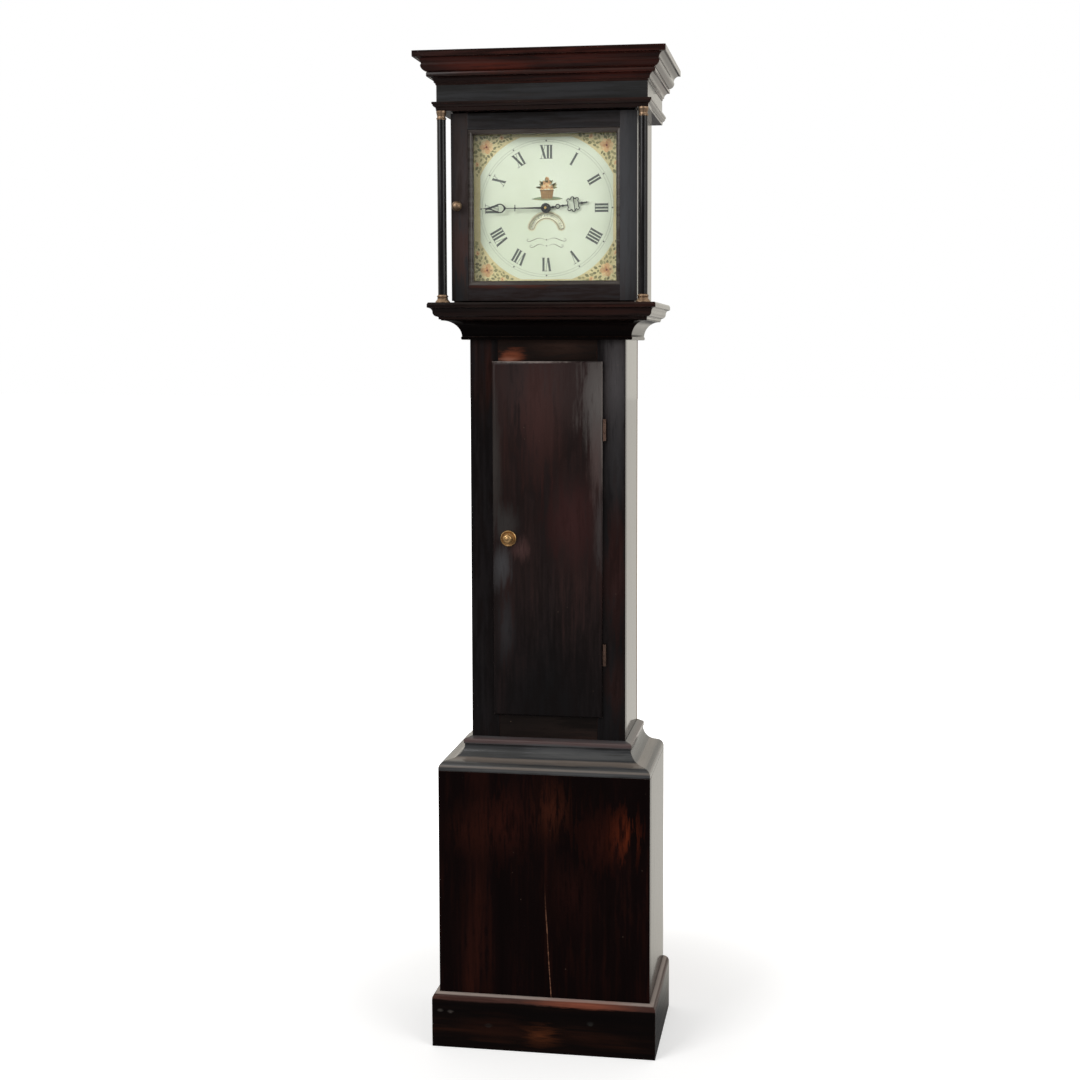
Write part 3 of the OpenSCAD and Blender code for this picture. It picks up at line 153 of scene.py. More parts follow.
class Finish(Wiring):
    """A material that is built up node by node over the object's own coordinates."""

    def __init__(self, name, metal=0.0, shine=0.5, roughness=0.5):
        self.material = bpy.data.materials.new(name)
        self.material.use_nodes = True
        super().__init__(self.material.node_tree)
        self.tree.nodes.clear()
        self.out = self.tree.nodes.new("ShaderNodeOutputMaterial")
        self.shader = self.tree.nodes.new("ShaderNodeBsdfPrincipled")
        self.put(self.out.inputs[0], self.shader.outputs[0])
        for label, value in (("Metallic", metal), ("Specular IOR Level", shine), ("Roughness", roughness)):
            self.put(self.shader.inputs[label], value)
        self.place = self.node("ShaderNodeTexCoord", "Object")

    def stretched(self, scale, move=(0, 0, 0)):
        return self.node("ShaderNodeMapping", Vector=self.place, Location=move, Scale=scale)

    def noise(self, where, scale, detail, rough, warp=0.0):
        return self.node("ShaderNodeTexNoise", Vector=where, Scale=scale, Detail=detail,
                         Roughness=rough, Distortion=warp)

    def ramp(self, share, *stops):
        out = self.node("ShaderNodeValToRGB", i0=share)
        band = out.node.color_ramp
        while len(band.elements) < len(stops):
            band.elements.new(0.5)
        for mark, (at, colour) in zip(band.elements, stops):
            mark.position = at
            mark.color = colour
        return out

    def over(self, share, under, top, way="MIX"):
        """Lays one colour over another."""
        return self.node("ShaderNodeMix", "Result", {"data_type": "RGBA", "blend_type": way},
                         Factor=share, A=under, B=top)

    def spot(self, centre, size, loose, ragged):
        """A patch that is 1 in its middle and fades, its rim broken up by a noise."""
        near = self.node("ShaderNodeVectorMath", 0, {"operation": "SUBTRACT"}, i0=self.place, i1=centre)
        near = self.node("ShaderNodeVectorMath", 0, {"operation": "DIVIDE"}, i0=near, i1=size)
        far = self.node("ShaderNodeVectorMath", 1, {"operation": "LENGTH"}, i0=near)
        torn = self.reckon("MULTIPLY_ADD", loose, 2 * ragged, i2=-ragged)
        return self.between(self.plus(far, torn), 1.05, 0.2)

    def split(self, low, high, width, loose):
        """A crack in a front board, from a low point to a high one, given as x and z."""
        across = self.node("ShaderNodeSeparateXYZ", 0, i0=self.place)
        height = across.node.outputs[2]
        tall = high[1] - low[1]
        lean = (high[0] - low[0]) / tall
        middle = self.reckon("MULTIPLY_ADD", height, lean, i2=low[0] - lean * low[1])
        wander = self.reckon("MULTIPLY_ADD", loose, 0.006, i2=-0.003)
        off = self.reckon("ABSOLUTE", self.plus(self.reckon("SUBTRACT", across, middle), wander))
        run = self.times(self.between(height, low[1] - 0.004, low[1] + 0.004),
                         self.between(height, high[1], low[1] + 0.35 * tall))
        return self.times(self.between(off, width, 0.3 * width), run)

    def edges(self, radius):
        """The normal over a softened edge, and 1 where the edge is sharp."""
        soft = self.node("ShaderNodeBevel", 0, {"samples": 4}, Radius=radius)
        flat = self.node("ShaderNodeNewGeometry", "Normal")
        turn = self.node("ShaderNodeVectorMath", 1, {"operation": "DOT_PRODUCT"}, i0=soft, i1=flat)
        return soft, self.between(turn, 0.995, 0.86)

    def bumps(self, height, depth, strength, normal=None):
        more = {} if normal is None else {"Normal": normal}
        return self.node("ShaderNodeBump", Height=height, Distance=depth, Strength=strength, **more)

    def finish(self, colour, roughness, normal=None):
        self.put(self.shader.inputs["Base Color"], colour)
        self.put(self.shader.inputs["Roughness"], roughness)
        if normal is not None:
            self.put(self.shader.inputs["Normal"], normal)
        return self.material


GRAIN = {  # how much the figure, the pores and the brush marks are drawn out along each axis
    "x": ((1.5, 18, 18), (5, 170, 170), (11, 75, 75)),
    "z": ((18, 18, 1.5), (170, 170, 5), (75, 75, 11)),
    "xy": ((1.5, 1.5, 26), (4, 4, 200), (7, 7, 80)),
}


def grain_scale(scale, along, across):
    """A noise scale for the same direction of grain as another scale."""
    return tuple(along if c < 10 else across for c in scale)


BARE_WOOD = tone(96, 66, 50)
CRACK_DUST = tone(132, 92, 72)
PALE_SPECK = tone(112, 96, 82)
ALL_ROUND = 2.0


def marks(face, deep, *rows):
    """Stains, scuffs and painted light on a board's front: painted highlights, reflections and shade. Each
    row: x, z, width, height, colour, share, how torn its rim is.
    """
    return [((x, face, z), (wide, ALL_ROUND if wide == ALL_ROUND else deep, high), tone(*colour), share, torn)
            for x, z, wide, high, colour, share, torn in rows]


def polished_wood(name, along, move, dark, body, warm, haze_and_sheen, haze_and_sheen_share, shine, gloss,
                  wear=BARE_WOOD, wear_share=0.5, spots=(), shade=0.85, flat=1.0, crack=None):
    """Old dark wood under many coats of polish: figure, pores, haze with painted sheen, rubbed edges, stains
    and scuffs, and painted highlights, reflections and shade.

    Wood colours are dark, body and warm. A crack is two points of a board's front and a width.
    """
    f = Finish(name, shine=shine)
    broad_scale, fine_scale, brush_scale = GRAIN[along]
    broad = f.noise(f.stretched(broad_scale, move), 1.0, 3, 0.5, 0.4)
    fine = f.noise(f.stretched(fine_scale, move), 1.0, 3, 0.6)
    brushed = f.noise(f.stretched(brush_scale, move), 1.0, 5, 0.7, 0.2)
    cloud = f.noise(f.stretched(grain_scale(broad_scale, 2.2, 5.5), move), 1.0, 3, 0.55, 0.3)
    figure = f.plus(f.times(broad, 0.45), f.plus(f.times(brushed, 0.35), f.times(fine, 0.2)))
    colour = f.ramp(figure, (0.4, dark), (0.5, body), (0.62, warm))
    clouded = f.plus(f.times(cloud, 0.6), f.times(brushed, 0.4))
    colour = f.over(f.between(clouded, 0.44, 0.56, 0.0, shade), colour, dark)
    ragged = f.plus(f.times(brushed, 0.7), f.times(fine, 0.3))
    # the patches are stains and scuffs, and painted highlights, reflections and shade
    for centre, size, paint, share, torn in spots:
        patch = f.times(f.spot(centre, size, ragged, torn),
                        f.between(ragged, 0.38, 0.6, max(0.0, 1.0 - 0.3 * torn), 1.0))
        colour = f.over(f.times(patch, share), colour, paint)
    # haze: polish bloom with painted sheen, laid in ragged patches
    if haze_and_sheen is not None:
        colour = f.over(f.between(ragged, 0.42, 0.6, haze_and_sheen_share * 0.3, haze_and_sheen_share), colour, haze_and_sheen)
    soft, edge = f.edges(0.0012)
    rubbed = f.times(edge, f.between(f.noise(f.place, 34, 4, 0.7), 0.42, 0.62, 0.15, wear_share))
    colour = f.over(rubbed, colour, wear)
    if crack is not None:
        broken = f.between(f.noise(f.place, 55, 3, 0.7), 0.42, 0.6, 0.3, 1.0)
        colour = f.over(f.times(f.split(*crack, ragged), broken), colour, CRACK_DUST)
    speck = f.node("ShaderNodeTexVoronoi", 0, Vector=f.stretched((38, 38, 38), move), Scale=1.0)
    speck = f.times(f.between(speck, 0.055, 0.02), f.between(brushed, 0.48, 0.58))
    colour = f.over(f.times(speck, 0.4), colour, PALE_SPECK)
    rough = f.plus(f.between(brushed, 0.35, 0.7, gloss, gloss + 0.07),
                   f.times(f.between(fine, 0.5, 0.75), 0.05))
    planed = f.noise(f.stretched(grain_scale(broad_scale, 2.0, 9.0), move), 1.0, 1, 0.4)
    normal = f.bumps(planed, 0.001 * flat, 0.5, soft)
    normal = f.bumps(fine, 0.00006, 0.3, normal)
    return f.finish(colour, rough, normal)


def plain_wood(name, along, move, dark, body, pale):
    """Unpolished wood of the inside: sawn, dusty, a little dirty."""
    f = Finish(name, shine=0.25)
    broad_scale, fine_scale, _ = GRAIN[along]
    broad = f.noise(f.stretched(broad_scale, move), 1.0, 5, 0.6, 0.5)
    fine = f.noise(f.stretched(fine_scale, move), 1.0, 4, 0.6)
    dirt = f.noise(f.place, 5, 6, 0.65, 0.3)
    colour = f.ramp(broad, (0.32, dark), (0.5, body), (0.7, pale))
    colour = f.over(f.between(fine, 0.45, 0.7, 0.0, 0.35), colour, dark)
    colour = f.over(f.between(dirt, 0.5, 0.75, 0.0, 0.5), colour, tone(58, 44, 32))
    soft, edge = f.edges(0.001)
    colour = f.over(f.times(edge, 0.25), colour, pale)
    return f.finish(colour, f.between(fine, 0.3, 0.7, 0.62, 0.82), f.bumps(fine, 0.0003, 0.6, soft))


def aged_metal(name, body, dull, gloss, tarnish, brushed=None):
    """Metal with tarnish in clouds, worn edges and fine scratches."""
    f = Finish(name, metal=1.0)
    cloud = f.noise(f.place, 70, 6, 0.65, 0.4)
    line = f.noise(f.stretched(brushed), 1.0, 3, 0.6) if brushed else f.noise(f.place, 900, 2, 0.5)
    colour = f.over(f.between(cloud, 0.42, 0.7, 0.0, tarnish), body, dull)
    soft, edge = f.edges(0.0006)
    bright = tuple(min(1, c * 1.25) for c in body[:3]) + (1,)
    colour = f.over(f.times(edge, 0.5), colour, bright)
    rough = f.plus(f.between(cloud, 0.35, 0.7, gloss, gloss + 0.22), f.times(line, 0.08))
    return f.finish(colour, rough, f.bumps(f.plus(cloud, f.times(line, 0.3)), 0.0002, 0.5, soft))


def cast_iron():
    f = Finish("rusty cast iron", metal=0.6, shine=0.4)
    grit = f.noise(f.place, 240, 6, 0.7)
    rust = f.noise(f.place, 26, 6, 0.65, 0.5)
    colour = f.ramp(rust, (0.35, tone(46, 42, 40)), (0.55, tone(62, 50, 44)), (0.7, tone(98, 58, 36)))
    return f.finish(colour, f.between(rust, 0.4, 0.7, 0.5, 0.85), f.bumps(grit, 0.0008, 0.7))


def hand_steel():
    f = Finish("blued and blackened steel", metal=0.7, shine=0.4)
    cloud = f.noise(f.place, 90, 4, 0.6)
    colour = f.ramp(cloud, (0.35, tone(30, 32, 32)), (0.6, tone(46, 48, 50)), (0.75, tone(70, 60, 50)))
    soft, edge = f.edges(0.0004)
    colour = f.over(f.times(edge, 0.35), colour, tone(120, 118, 110))
    return f.finish(colour, f.between(cloud, 0.3, 0.7, 0.32, 0.5), soft)


def dial_cream(name, painted_lift=0.0):
    """White lead paint on iron, faintly green in clouds, flecked and finely crazed. The last argument paints
    light: at 1 the colour is lifted to near white, to offset the shade on the paint.
    """
    f = Finish(name, shine=0.3)
    cloud = f.noise(f.stretched((7, 7, 7)), 1.0, 5, 0.6, 0.3)
    fleck = f.noise(f.place, 320, 3, 0.7)
    colour = f.ramp(cloud, (0.3, tone(208, 216, 195)), (0.55, tone(217, 225, 206)),
                    (0.75, tone(221, 228, 212)))
    low = f.spot((-0.075, DIAL_FACE, DIAL_Z - 0.06), (0.13, 0.2, 0.12), cloud, 0.3)
    colour = f.over(f.times(low, 0.45), colour, tone(199, 209, 184))
    colour = f.over(f.between(fleck, 0.66, 0.78, 0.0, 0.35), colour, tone(150, 140, 110))
    craze = f.node("ShaderNodeTexVoronoi", 0, {"feature": "DISTANCE_TO_EDGE"}, Vector=f.place, Scale=150.0)
    crack = f.times(f.between(craze, 0.035, 0.0), f.between(cloud, 0.45, 0.65))
    colour = f.over(f.times(crack, 0.22), colour, tone(140, 132, 104))
    # painted light: lifted toward white to offset the shade on a recessed piece
    colour = f.over(painted_lift, colour, tone(255, 253, 226))
    return f.finish(colour, f.between(fleck, 0.3, 0.7, 0.32, 0.46), f.bumps(crack, 0.00005, -0.4))


def brush_paint():
    """The dial painter's colours, carried by the pieces' own paint attribute."""
    f = Finish("dial painter's colours", shine=0.3)
    laid = f.node("ShaderNodeAttribute", 0, {"attribute_name": "paint"})
    worn = f.noise(f.place, 420, 4, 0.7)
    streak = f.noise(f.place, 60, 4, 0.6, 0.5)
    colour = f.over(f.between(worn, 0.55, 0.8, 0.0, 0.35), laid, tone(214, 214, 190))
    colour = f.over(f.between(streak, 0.4, 0.7, 0.0, 0.22), colour, tone(60, 50, 30), "MULTIPLY")
    return f.finish(colour, f.between(worn, 0.3, 0.7, 0.35, 0.55))


def corner_ground():
    """The yellowed ground of the dial's corners, brushed on unevenly."""
    f = Finish("yellow corner ground", shine=0.3)
    cloud = f.noise(f.place, 30, 5, 0.6, 0.5)
    stipple = f.noise(f.place, 260, 3, 0.7)
    colour = f.ramp(cloud, (0.3, tone(196, 184, 134)), (0.5, tone(208, 197, 148)), (0.7, tone(218, 207, 158)))
    colour = f.over(f.between(stipple, 0.5, 0.7, 0.0, 0.35), colour, tone(168, 162, 112))
    return f.finish(colour, f.between(stipple, 0.3, 0.7, 0.34, 0.5))


def clear_glass():
    """Old crown glass, a little wavy. Lamps pass through it."""
    f = Finish("old crown glass", roughness=0.02)
    f.shader.inputs["Transmission Weight"].default_value = 1.0
    f.shader.inputs["IOR"].default_value = 1.45
    f.shader.inputs["Base Color"].default_value = (0.97, 0.985, 0.97, 1)
    wave = f.noise(f.stretched((6, 6, 3)), 1.0, 1, 0.4)
    f.put(f.shader.inputs["Normal"], f.bumps(wave, 0.0006, 0.12))
    mixed = f.node("ShaderNodeMixShader", i0=f.node("ShaderNodeLightPath", "Is Shadow Ray"),
                   i1=f.shader.outputs[0], i2=f.node("ShaderNodeBsdfTransparent"))
    f.put(f.out.inputs[0], mixed)
    return f.material


RUBBED = tone(92, 46, 32)
# Haze colours: polish bloom, and painted sheen that stands in for reflections of the room
COOL_HAZE_AND_SHEEN = tone(58, 60, 64)
WARM_HAZE_AND_SHEEN = tone(54, 46, 42)

cornice_wood = polished_wood(
    "cornice wood", "xy", (3.1, 0.4, 7.7), tone(18, 9, 8), tone(28, 12, 10), tone(66, 24, 17),
    WARM_HAZE_AND_SHEEN, 0.12, 0.2, 0.1, tone(104, 82, 74), 0.5,
    marks(CORNICE_FACE, 0.06,
          (-0.09, 1.965, 0.12, 0.016, (96, 36, 22), 0.7, 2.4)), 0.7)
frieze_wood = polished_wood(
    "frieze wood", "xy", (8.2, 5.1, 1.3), tone(28, 27, 26), tone(38, 37, 36), tone(52, 44, 42),
    COOL_HAZE_AND_SHEEN, 0.4, 0.22, 0.12)
architrave_wood = polished_wood(
    "architrave wood", "xy", (1.4, 2.2, 3.9), tone(22, 14, 13), tone(34, 21, 19), tone(56, 30, 25),
    WARM_HAZE_AND_SHEEN, 0.14, 0.22, 0.1, RUBBED, 0.5)
hood_side_wood = polished_wood(
    "hood side wood", "z", (4.4, 1.2, 6.3), tone(20, 14, 12), tone(30, 20, 17), tone(48, 25, 18),
    COOL_HAZE_AND_SHEEN, 0.2, 0.3, 0.06, flat=0.3)
hood_rail_wood = polished_wood(
    "hood door rail wood", "x", (7.4, 3.3, 2.3), tone(22, 19, 18), tone(34, 30, 29), tone(52, 42, 40),
    COOL_HAZE_AND_SHEEN, 0.35, 0.16, 0.12, tone(84, 70, 66), 0.4,
    marks(HOOD_DOOR_FACE, 0.04,
          (0.0, 1.54, 0.4, 0.05, (38, 25, 22), 0.85, 0.8),
          (-0.06, 1.551, 0.11, 0.008, (104, 50, 32), 0.8, 2.6),
          (0.0, 1.848, 0.3, 0.012, (60, 54, 52), 0.7, 1.6)))
hood_stile_wood = polished_wood(
    "hood door stile wood", "z", (2.7, 9.1, 4.8), tone(22, 19, 18), tone(38, 33, 32), tone(58, 48, 46),
    COOL_HAZE_AND_SHEEN, 0.3, 0.16, 0.12, tone(84, 74, 70), 0.4,
    marks(HOOD_DOOR_FACE, 0.04,
          # painted reflection: a pale blue-grey band down the right stile
          (0.165, 1.71, 0.05, 0.3, (74, 75, 78), 0.9, 0.9),
          (-0.162, 1.74, 0.05, 0.25, (62, 50, 47), 0.8, 1.4),
          (-0.168, 1.62, 0.04, 0.07, (70, 44, 38), 0.7, 2.0)))
bead_wood = polished_wood(
    "glazing bead wood", "xy", (6.4, 5.3, 2.8), tone(36, 30, 28), tone(54, 46, 43), tone(74, 62, 58),
    tone(96, 92, 88), 0.4, 0.3, 0.14, tone(120, 108, 100), 0.5)
mask_wood = polished_wood(
    "dial mask wood", "x", (5.1, 5.3, 5.8), tone(16, 9, 8), tone(24, 13, 11), tone(38, 18, 14),
    None, 0, 0.1, 0.3)
sill_wood = polished_wood(
    "hood base moulding wood", "xy", (9.6, 2.5, 4.2), tone(14, 9, 9), tone(22, 13, 12), tone(46, 20, 15),
    WARM_HAZE_AND_SHEEN, 0.14, 0.12, 0.1, tone(92, 78, 72), 0.5)
throat_wood = polished_wood(
    "throat moulding wood", "xy", (2.6, 7.5, 1.9), tone(6, 4, 4), tone(9, 6, 6), tone(20, 11, 9),
    None, 0, 0.04, 0.1)
column_wood = polished_wood(
    "ebonised column wood", "z", (4.1, 4.4, 2.6), tone(12, 10, 10), tone(20, 17, 17), tone(30, 24, 23),
    COOL_HAZE_AND_SHEEN, 0.15, 0.22, 0.1, tone(70, 60, 56), 0.3)
stile_wood = polished_wood(
    "trunk stile wood", "z", (1.7, 6.6, 3.2), tone(11, 8, 8), tone(17, 12, 11), tone(36, 19, 15),
    COOL_HAZE_AND_SHEEN, 0.1, 0.08, 0.1, RUBBED, 0.4,
    marks(TRUNK_FACE, 0.05,
          # painted reflection: pale grey down the upper part of the right stile
          (0.14, 1.36, 0.035, 0.16, (74, 71, 72), 0.85, 1.2),
          (0.14, 1.22, 0.03, 0.16, (48, 46, 47), 0.8, 1.4),
          (0.14, 0.98, 0.03, 0.16, (52, 27, 24), 0.7, 1.9),
          (0.14, 0.74, 0.03, 0.09, (44, 22, 18), 0.6, 1.9),
          (-0.12, 1.38, 0.012, 0.09, (48, 22, 15), 0.7, 1.9)))
rail_wood = polished_wood(
    "trunk rail wood", "x", (3.3, 8.8, 4.1), tone(13, 9, 8), tone(24, 17, 15), tone(42, 25, 20),
    WARM_HAZE_AND_SHEEN, 0.12, 0.1, 0.12, RUBBED, 0.5,
    marks(TRUNK_FACE, 0.05,
          (-0.074, 1.410, 0.036, 0.020, (118, 62, 42), 0.95, 1.9),
          (-0.08, 1.4015, 0.028, 0.008, (150, 100, 82), 0.7, 1.9),
          (0.03, 1.43, 0.08, 0.03, (50, 34, 28), 0.7, 1.9)))
trunk_side_wood = polished_wood(
    "trunk side wood", "z", (6.1, 1.6, 8.4), tone(20, 14, 12), tone(30, 20, 17), tone(46, 26, 19),
    COOL_HAZE_AND_SHEEN, 0.2, 0.5, 0.05, RUBBED, 0.4, flat=0.2)
door_wood = polished_wood(
    "trunk door wood", "z", (5.9, 3.4, 9.9), tone(22, 16, 15), tone(31, 22, 21), tone(48, 29, 26),
    COOL_HAZE_AND_SHEEN, 0.06, 0.07, 0.1, tone(110, 98, 92), 0.7,
    marks(TRUNK_DOOR_FACE, 0.05,
          # painted sheen: lighter at the top of the door
          (0.0, 1.36, 0.17, 0.14, (54, 42, 41), 0.85, 1.2),
          (-0.02, 1.29, 0.06, 0.16, (64, 40, 37), 0.7, 1.5),
          (0.05, 1.08, 0.07, 0.12, (56, 31, 30), 0.75, 1.5),
          # darker towards the bottom of the door
          (0.0, 0.69, 0.24, 0.28, (11, 9, 9), 0.97, 0.5),
          (-0.085, 0.86, 0.022, 0.09, (46, 46, 48), 0.7, 1.9),
          # painted highlight: pale grey down the right side of the door
          (0.106, 1.33, 0.05, 0.15, (92, 88, 86), 0.85, 1.3),
          (0.105, 1.20, 0.026, 0.10, (80, 68, 66), 0.8, 1.3),
          (0.109, 1.06, 0.016, 0.14, (66, 62, 62), 0.7, 1.9),
          (-0.107, 1.20, 0.016, 0.18, (56, 54, 52), 0.7, 1.3),
          (-0.086, 1.065, 0.034, 0.05, (54, 53, 52), 0.75, 1.5),
          (-0.092, 0.985, 0.028, 0.06, (66, 66, 68), 0.8, 1.5),
          (-0.052, 1.02, 0.030, 0.035, (74, 52, 50), 0.75, 1.9),
          # painted highlights: thin pale lines along the top edge and down the right edge
          (-0.04, 1.3990, 0.12, 0.004, (168, 158, 152), 0.85, 0.9),
          (0.1125, 1.30, 0.003, 0.22, (128, 120, 116), 0.8, 0.9)), 0.45)
# grey-blue colours: painted sheen, light from above reflected in the hollow
cove_wood = polished_wood(
    "base moulding wood", "xy", (7.7, 2.9, 3.6), tone(36, 36, 37), tone(50, 51, 53), tone(66, 64, 64),
    tone(86, 88, 90), 0.35, 0.25, 0.14, tone(116, 104, 96), 0.6,
    marks(0.0, ALL_ROUND,
          (0.0, 0.6245, ALL_ROUND, 0.0075, (84, 62, 60), 0.95, 0.9),
          # painted shade: a dark line in the crease under the bead
          (0.0, 0.6152, ALL_ROUND, 0.0028, (8, 6, 6), 1.0, 0.9),
          # painted highlights and shade: light and dark bands round the nose, and dark under it
          (0.0, 0.5905, ALL_ROUND, 0.0032, (128, 116, 106), 0.9, 1.0),
          (0.0, 0.5855, ALL_ROUND, 0.0022, (26, 23, 22), 0.9, 1.0),
          (0.0, 0.5800, ALL_ROUND, 0.0032, (118, 108, 100), 0.9, 1.2),
          (0.0, 0.5705, ALL_ROUND, 0.0042, (12, 9, 8), 1.0, 0.7)), 0.3)
base_wood = polished_wood(
    "base panel wood", "z", (2.2, 4.9, 5.5), tone(10, 5, 5), tone(15, 7, 7), tone(40, 17, 12),
    None, 0, 0.03, 0.1, RUBBED, 0.4,
    marks(BASE_FACE, 0.05,
          (0.165, 0.45, 0.036, 0.060, (104, 42, 20), 0.85, 3.2),
          (0.13, 0.44, 0.07, 0.08, (46, 18, 12), 0.8, 2.6),
          (-0.078, 0.47, 0.07, 0.09, (50, 21, 15), 0.8, 3.0),
          (0.02, 0.50, 0.05, 0.07, (62, 29, 18), 0.8, 3.2),
          (-0.15, 0.45, 0.06, 0.07, (44, 19, 13), 0.8, 3.0),
          (0.06, 0.33, 0.06, 0.09, (36, 15, 12), 0.7, 3.0),
          (-0.15, 0.22, 0.05, 0.10, (30, 13, 11), 0.5, 3.0)),
    0.6, 1.0, ((0.0148, 0.112), (0.0016, 0.36), 0.0013))
base_side_wood = polished_wood(
    "base side wood", "z", (8.8, 6.9, 1.5), tone(13, 8, 7), tone(24, 14, 12), tone(40, 22, 16),
    None, 0, 0.08, 0.06, RUBBED, 0.4, flat=0.3)
plinth_wood = polished_wood(
    "plinth wood", "xy", (5.2, 7.1, 6.6), tone(9, 6, 6), tone(15, 9, 8), tone(36, 18, 12),
    None, 0, 0.05, 0.14, tone(112, 92, 82), 0.7,
    marks(PLINTH_FACE, 0.05,
          (-0.004, 0.037, 0.045, 0.026, (84, 44, 24), 0.85, 2.8),
          (-0.10, 0.05, 0.09, 0.03, (34, 16, 11), 0.7, 1.9),
          # painted highlight on the rounded top edge, partly rubbed wear: pale crest, browner below, redder
          # to the right
          (0.0, 0.1035, ALL_ROUND, 0.007, (84, 56, 50), 0.85, 1.6),
          (0.0, 0.1102, ALL_ROUND, 0.0026, (166, 152, 144), 0.9, 0.8),
          (0.08, 0.1035, 0.11, 0.009, (138, 76, 56), 0.85, 1.9),
          (-0.213, 0.076, 0.008, 0.0045, (78, 74, 70), 0.8, 3.0),
          (-0.191, 0.074, 0.008, 0.0050, (84, 78, 74), 0.8, 3.0),
          (-0.112, 0.050, 0.007, 0.0045, (54, 54, 52), 0.8, 3.0),
          (0.098, 0.066, 0.007, 0.0055, (52, 52, 50), 0.8, 3.0)))
inner_wood = plain_wood(
    "plain inner wood", "z", (1.1, 2.3, 3.1), tone(70, 48, 30), tone(118, 88, 58), tone(150, 118, 82))
inner_board = plain_wood(
    "plain inner board", "x", (4.1, 2.3, 3.1), tone(74, 50, 32), tone(112, 82, 54), tone(142, 110, 76))

case_brass = aged_metal("aged case brass", tone(196, 160, 112), tone(124, 92, 60), 0.3, 0.6)
gilt = aged_metal("coppery gilt", tone(150, 126, 104), tone(84, 66, 54), 0.36, 0.75)
hinge_metal = aged_metal("browned hinge iron", tone(112, 90, 80), tone(56, 44, 40), 0.42, 0.7)
clock_brass = aged_metal(
    "brushed clock brass", tone(206, 170, 98), tone(134, 100, 52), 0.24, 0.5, (60, 60, 900))
wheel_brass = aged_metal("wheel brass", tone(210, 176, 104), tone(128, 94, 48), 0.25, 0.45)
bell_metal = aged_metal("bell metal", tone(186, 164, 130), tone(96, 78, 54), 0.24, 0.5)
steel = aged_metal("oiled steel", tone(148, 146, 142), tone(74, 66, 60), 0.3, 0.5)
iron = cast_iron()
black_hand = hand_steel()
cream = dial_cream("old cream dial paint")
# the date disc lies in shade behind the dial, so its cream is painted lighter
date_cream_lifted = dial_cream("date disc cream, painted lighter", 0.85)
paint = brush_paint()
ground = corner_ground()
glass = clear_glass()

# Which finish each piece of the frame gets
FINISHES = {
    inner_wood: ("backboard",),
    inner_board: ("seatboard", "hood_top_board"),
    case_brass: ("knob_rose", "trunk_knob"),
    gilt: ("hood_door_knob", "column_mounts"),
    hinge_metal: ("hinge_frame_leaves", "hinge_door_leaves"),
    clock_brass: ("movement_plates", "plate_pillars", "back_cock"),
    wheel_brass: ("great_wheel", "second_wheel", "escape_wheel", "cannon_wheel", "hour_wheel",
                  "strike_great_wheel", "hoop_wheel", "warning_wheel", "fly", "countwheel", "weight_pulley"),
    bell_metal: ("bell", "pendulum_bob"),
    steel: ("trunk_catch", "hood_door_pins", "anchor", "pendulum_rod", "hammer", "bell_stand",
            "weight_chain", "ring_chain"),
    iron: ("drive_weight", "ring_weight"),
    black_hand: ("minute_hand", "hour_hand"),
    cream: ("dial_plate",),
    date_cream_lifted: ("date_disc",),
    glass: ("hood_door_glass",),
}
for coat, names in FINISHES.items():
    for name in names:
        nodes[name].data.materials.clear()
        nodes[name].data.materials.append(coat)

# Case pieces of wood: the frame's shape with eased edges and smooth curves


def eased(name, body, wood, ease):
    """Takes a frame piece's place, its edges eased by hand and its mouldings smooth."""
    mesh = bpy.data.meshes.new(name + "_shaped")
    shaped = bmesh.new()
    shaped.from_mesh(nodes[name].data)
    bmesh.ops.remove_doubles(shaped, verts=shaped.verts, dist=0.00001)
    bmesh.ops.dissolve_limit(shaped, angle_limit=math.radians(0.4), verts=shaped.verts, edges=shaped.edges)
    bmesh.ops.recalc_face_normals(shaped, faces=shaped.faces)
    shaped.to_mesh(mesh)
    shaped.free()
    piece = stand(name + "_shaped", mesh)
    for face in mesh.polygons:
        face.use_smooth = True
    mesh.set_sharp_from_angle(angle=EASED_ANGLE)
    rounding = piece.modifiers.new("eased edges", "BEVEL")
    rounding.width = ease * MM
    rounding.segments = 2
    rounding.limit_method = "ANGLE"
    rounding.angle_limit = EASED_ANGLE
    rounding.harden_normals = True
    mesh = made_plain(piece)
    for corner in mesh.vertices:  # a sharp mitre can throw a point below the floor
        corner.co.z = max(corner.co.z, FLOOR_Z)
    mesh.materials.clear()
    mesh.materials.append(wood)
    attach(piece, body)
    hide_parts(name)


# Each piece with its body, its wood, and how far its edges are eased, in millimetres
CASE_PIECES = (
    ("base_front", "case", base_wood, 0.8),
    ("base_sides", "case", base_side_wood, 0.8),
    ("plinth", "case", plinth_wood, 1.0),
    ("base_cove", "case", cove_wood, 0.8),
    ("trunk_stiles", "case", stile_wood, 0.5),
    ("trunk_rails", "case", rail_wood, 0.5),
    ("trunk_sides", "case", trunk_side_wood, 0.5),
    ("throat_moulding", "case", throat_wood, 0.7),
    ("trunk_door", "trunk_door", door_wood, 0.8),
    ("hood_sides", "hood", hood_side_wood, 0.5),
    ("hood_head_rail", "hood", architrave_wood, 0.5),
    ("hood_frieze", "hood", frieze_wood, 0.6),
    ("hood_cornice", "hood", cornice_wood, 0.8),
    ("hood_architrave", "hood", architrave_wood, 0.6),
    ("hood_sill", "hood", sill_wood, 0.8),
    ("dial_mask", "hood", mask_wood, 0.4),
    ("hood_columns", "hood", column_wood, 0.3),
    ("hood_door_stiles", "hood_door", hood_stile_wood, 0.6),
    ("hood_door_rails", "hood_door", hood_rail_wood, 0.6),
    ("hood_door_bead", "hood_door", bead_wood, 0.3),
)
for name, body, wood, ease in CASE_PIECES:
    eased(name, body, wood, ease)


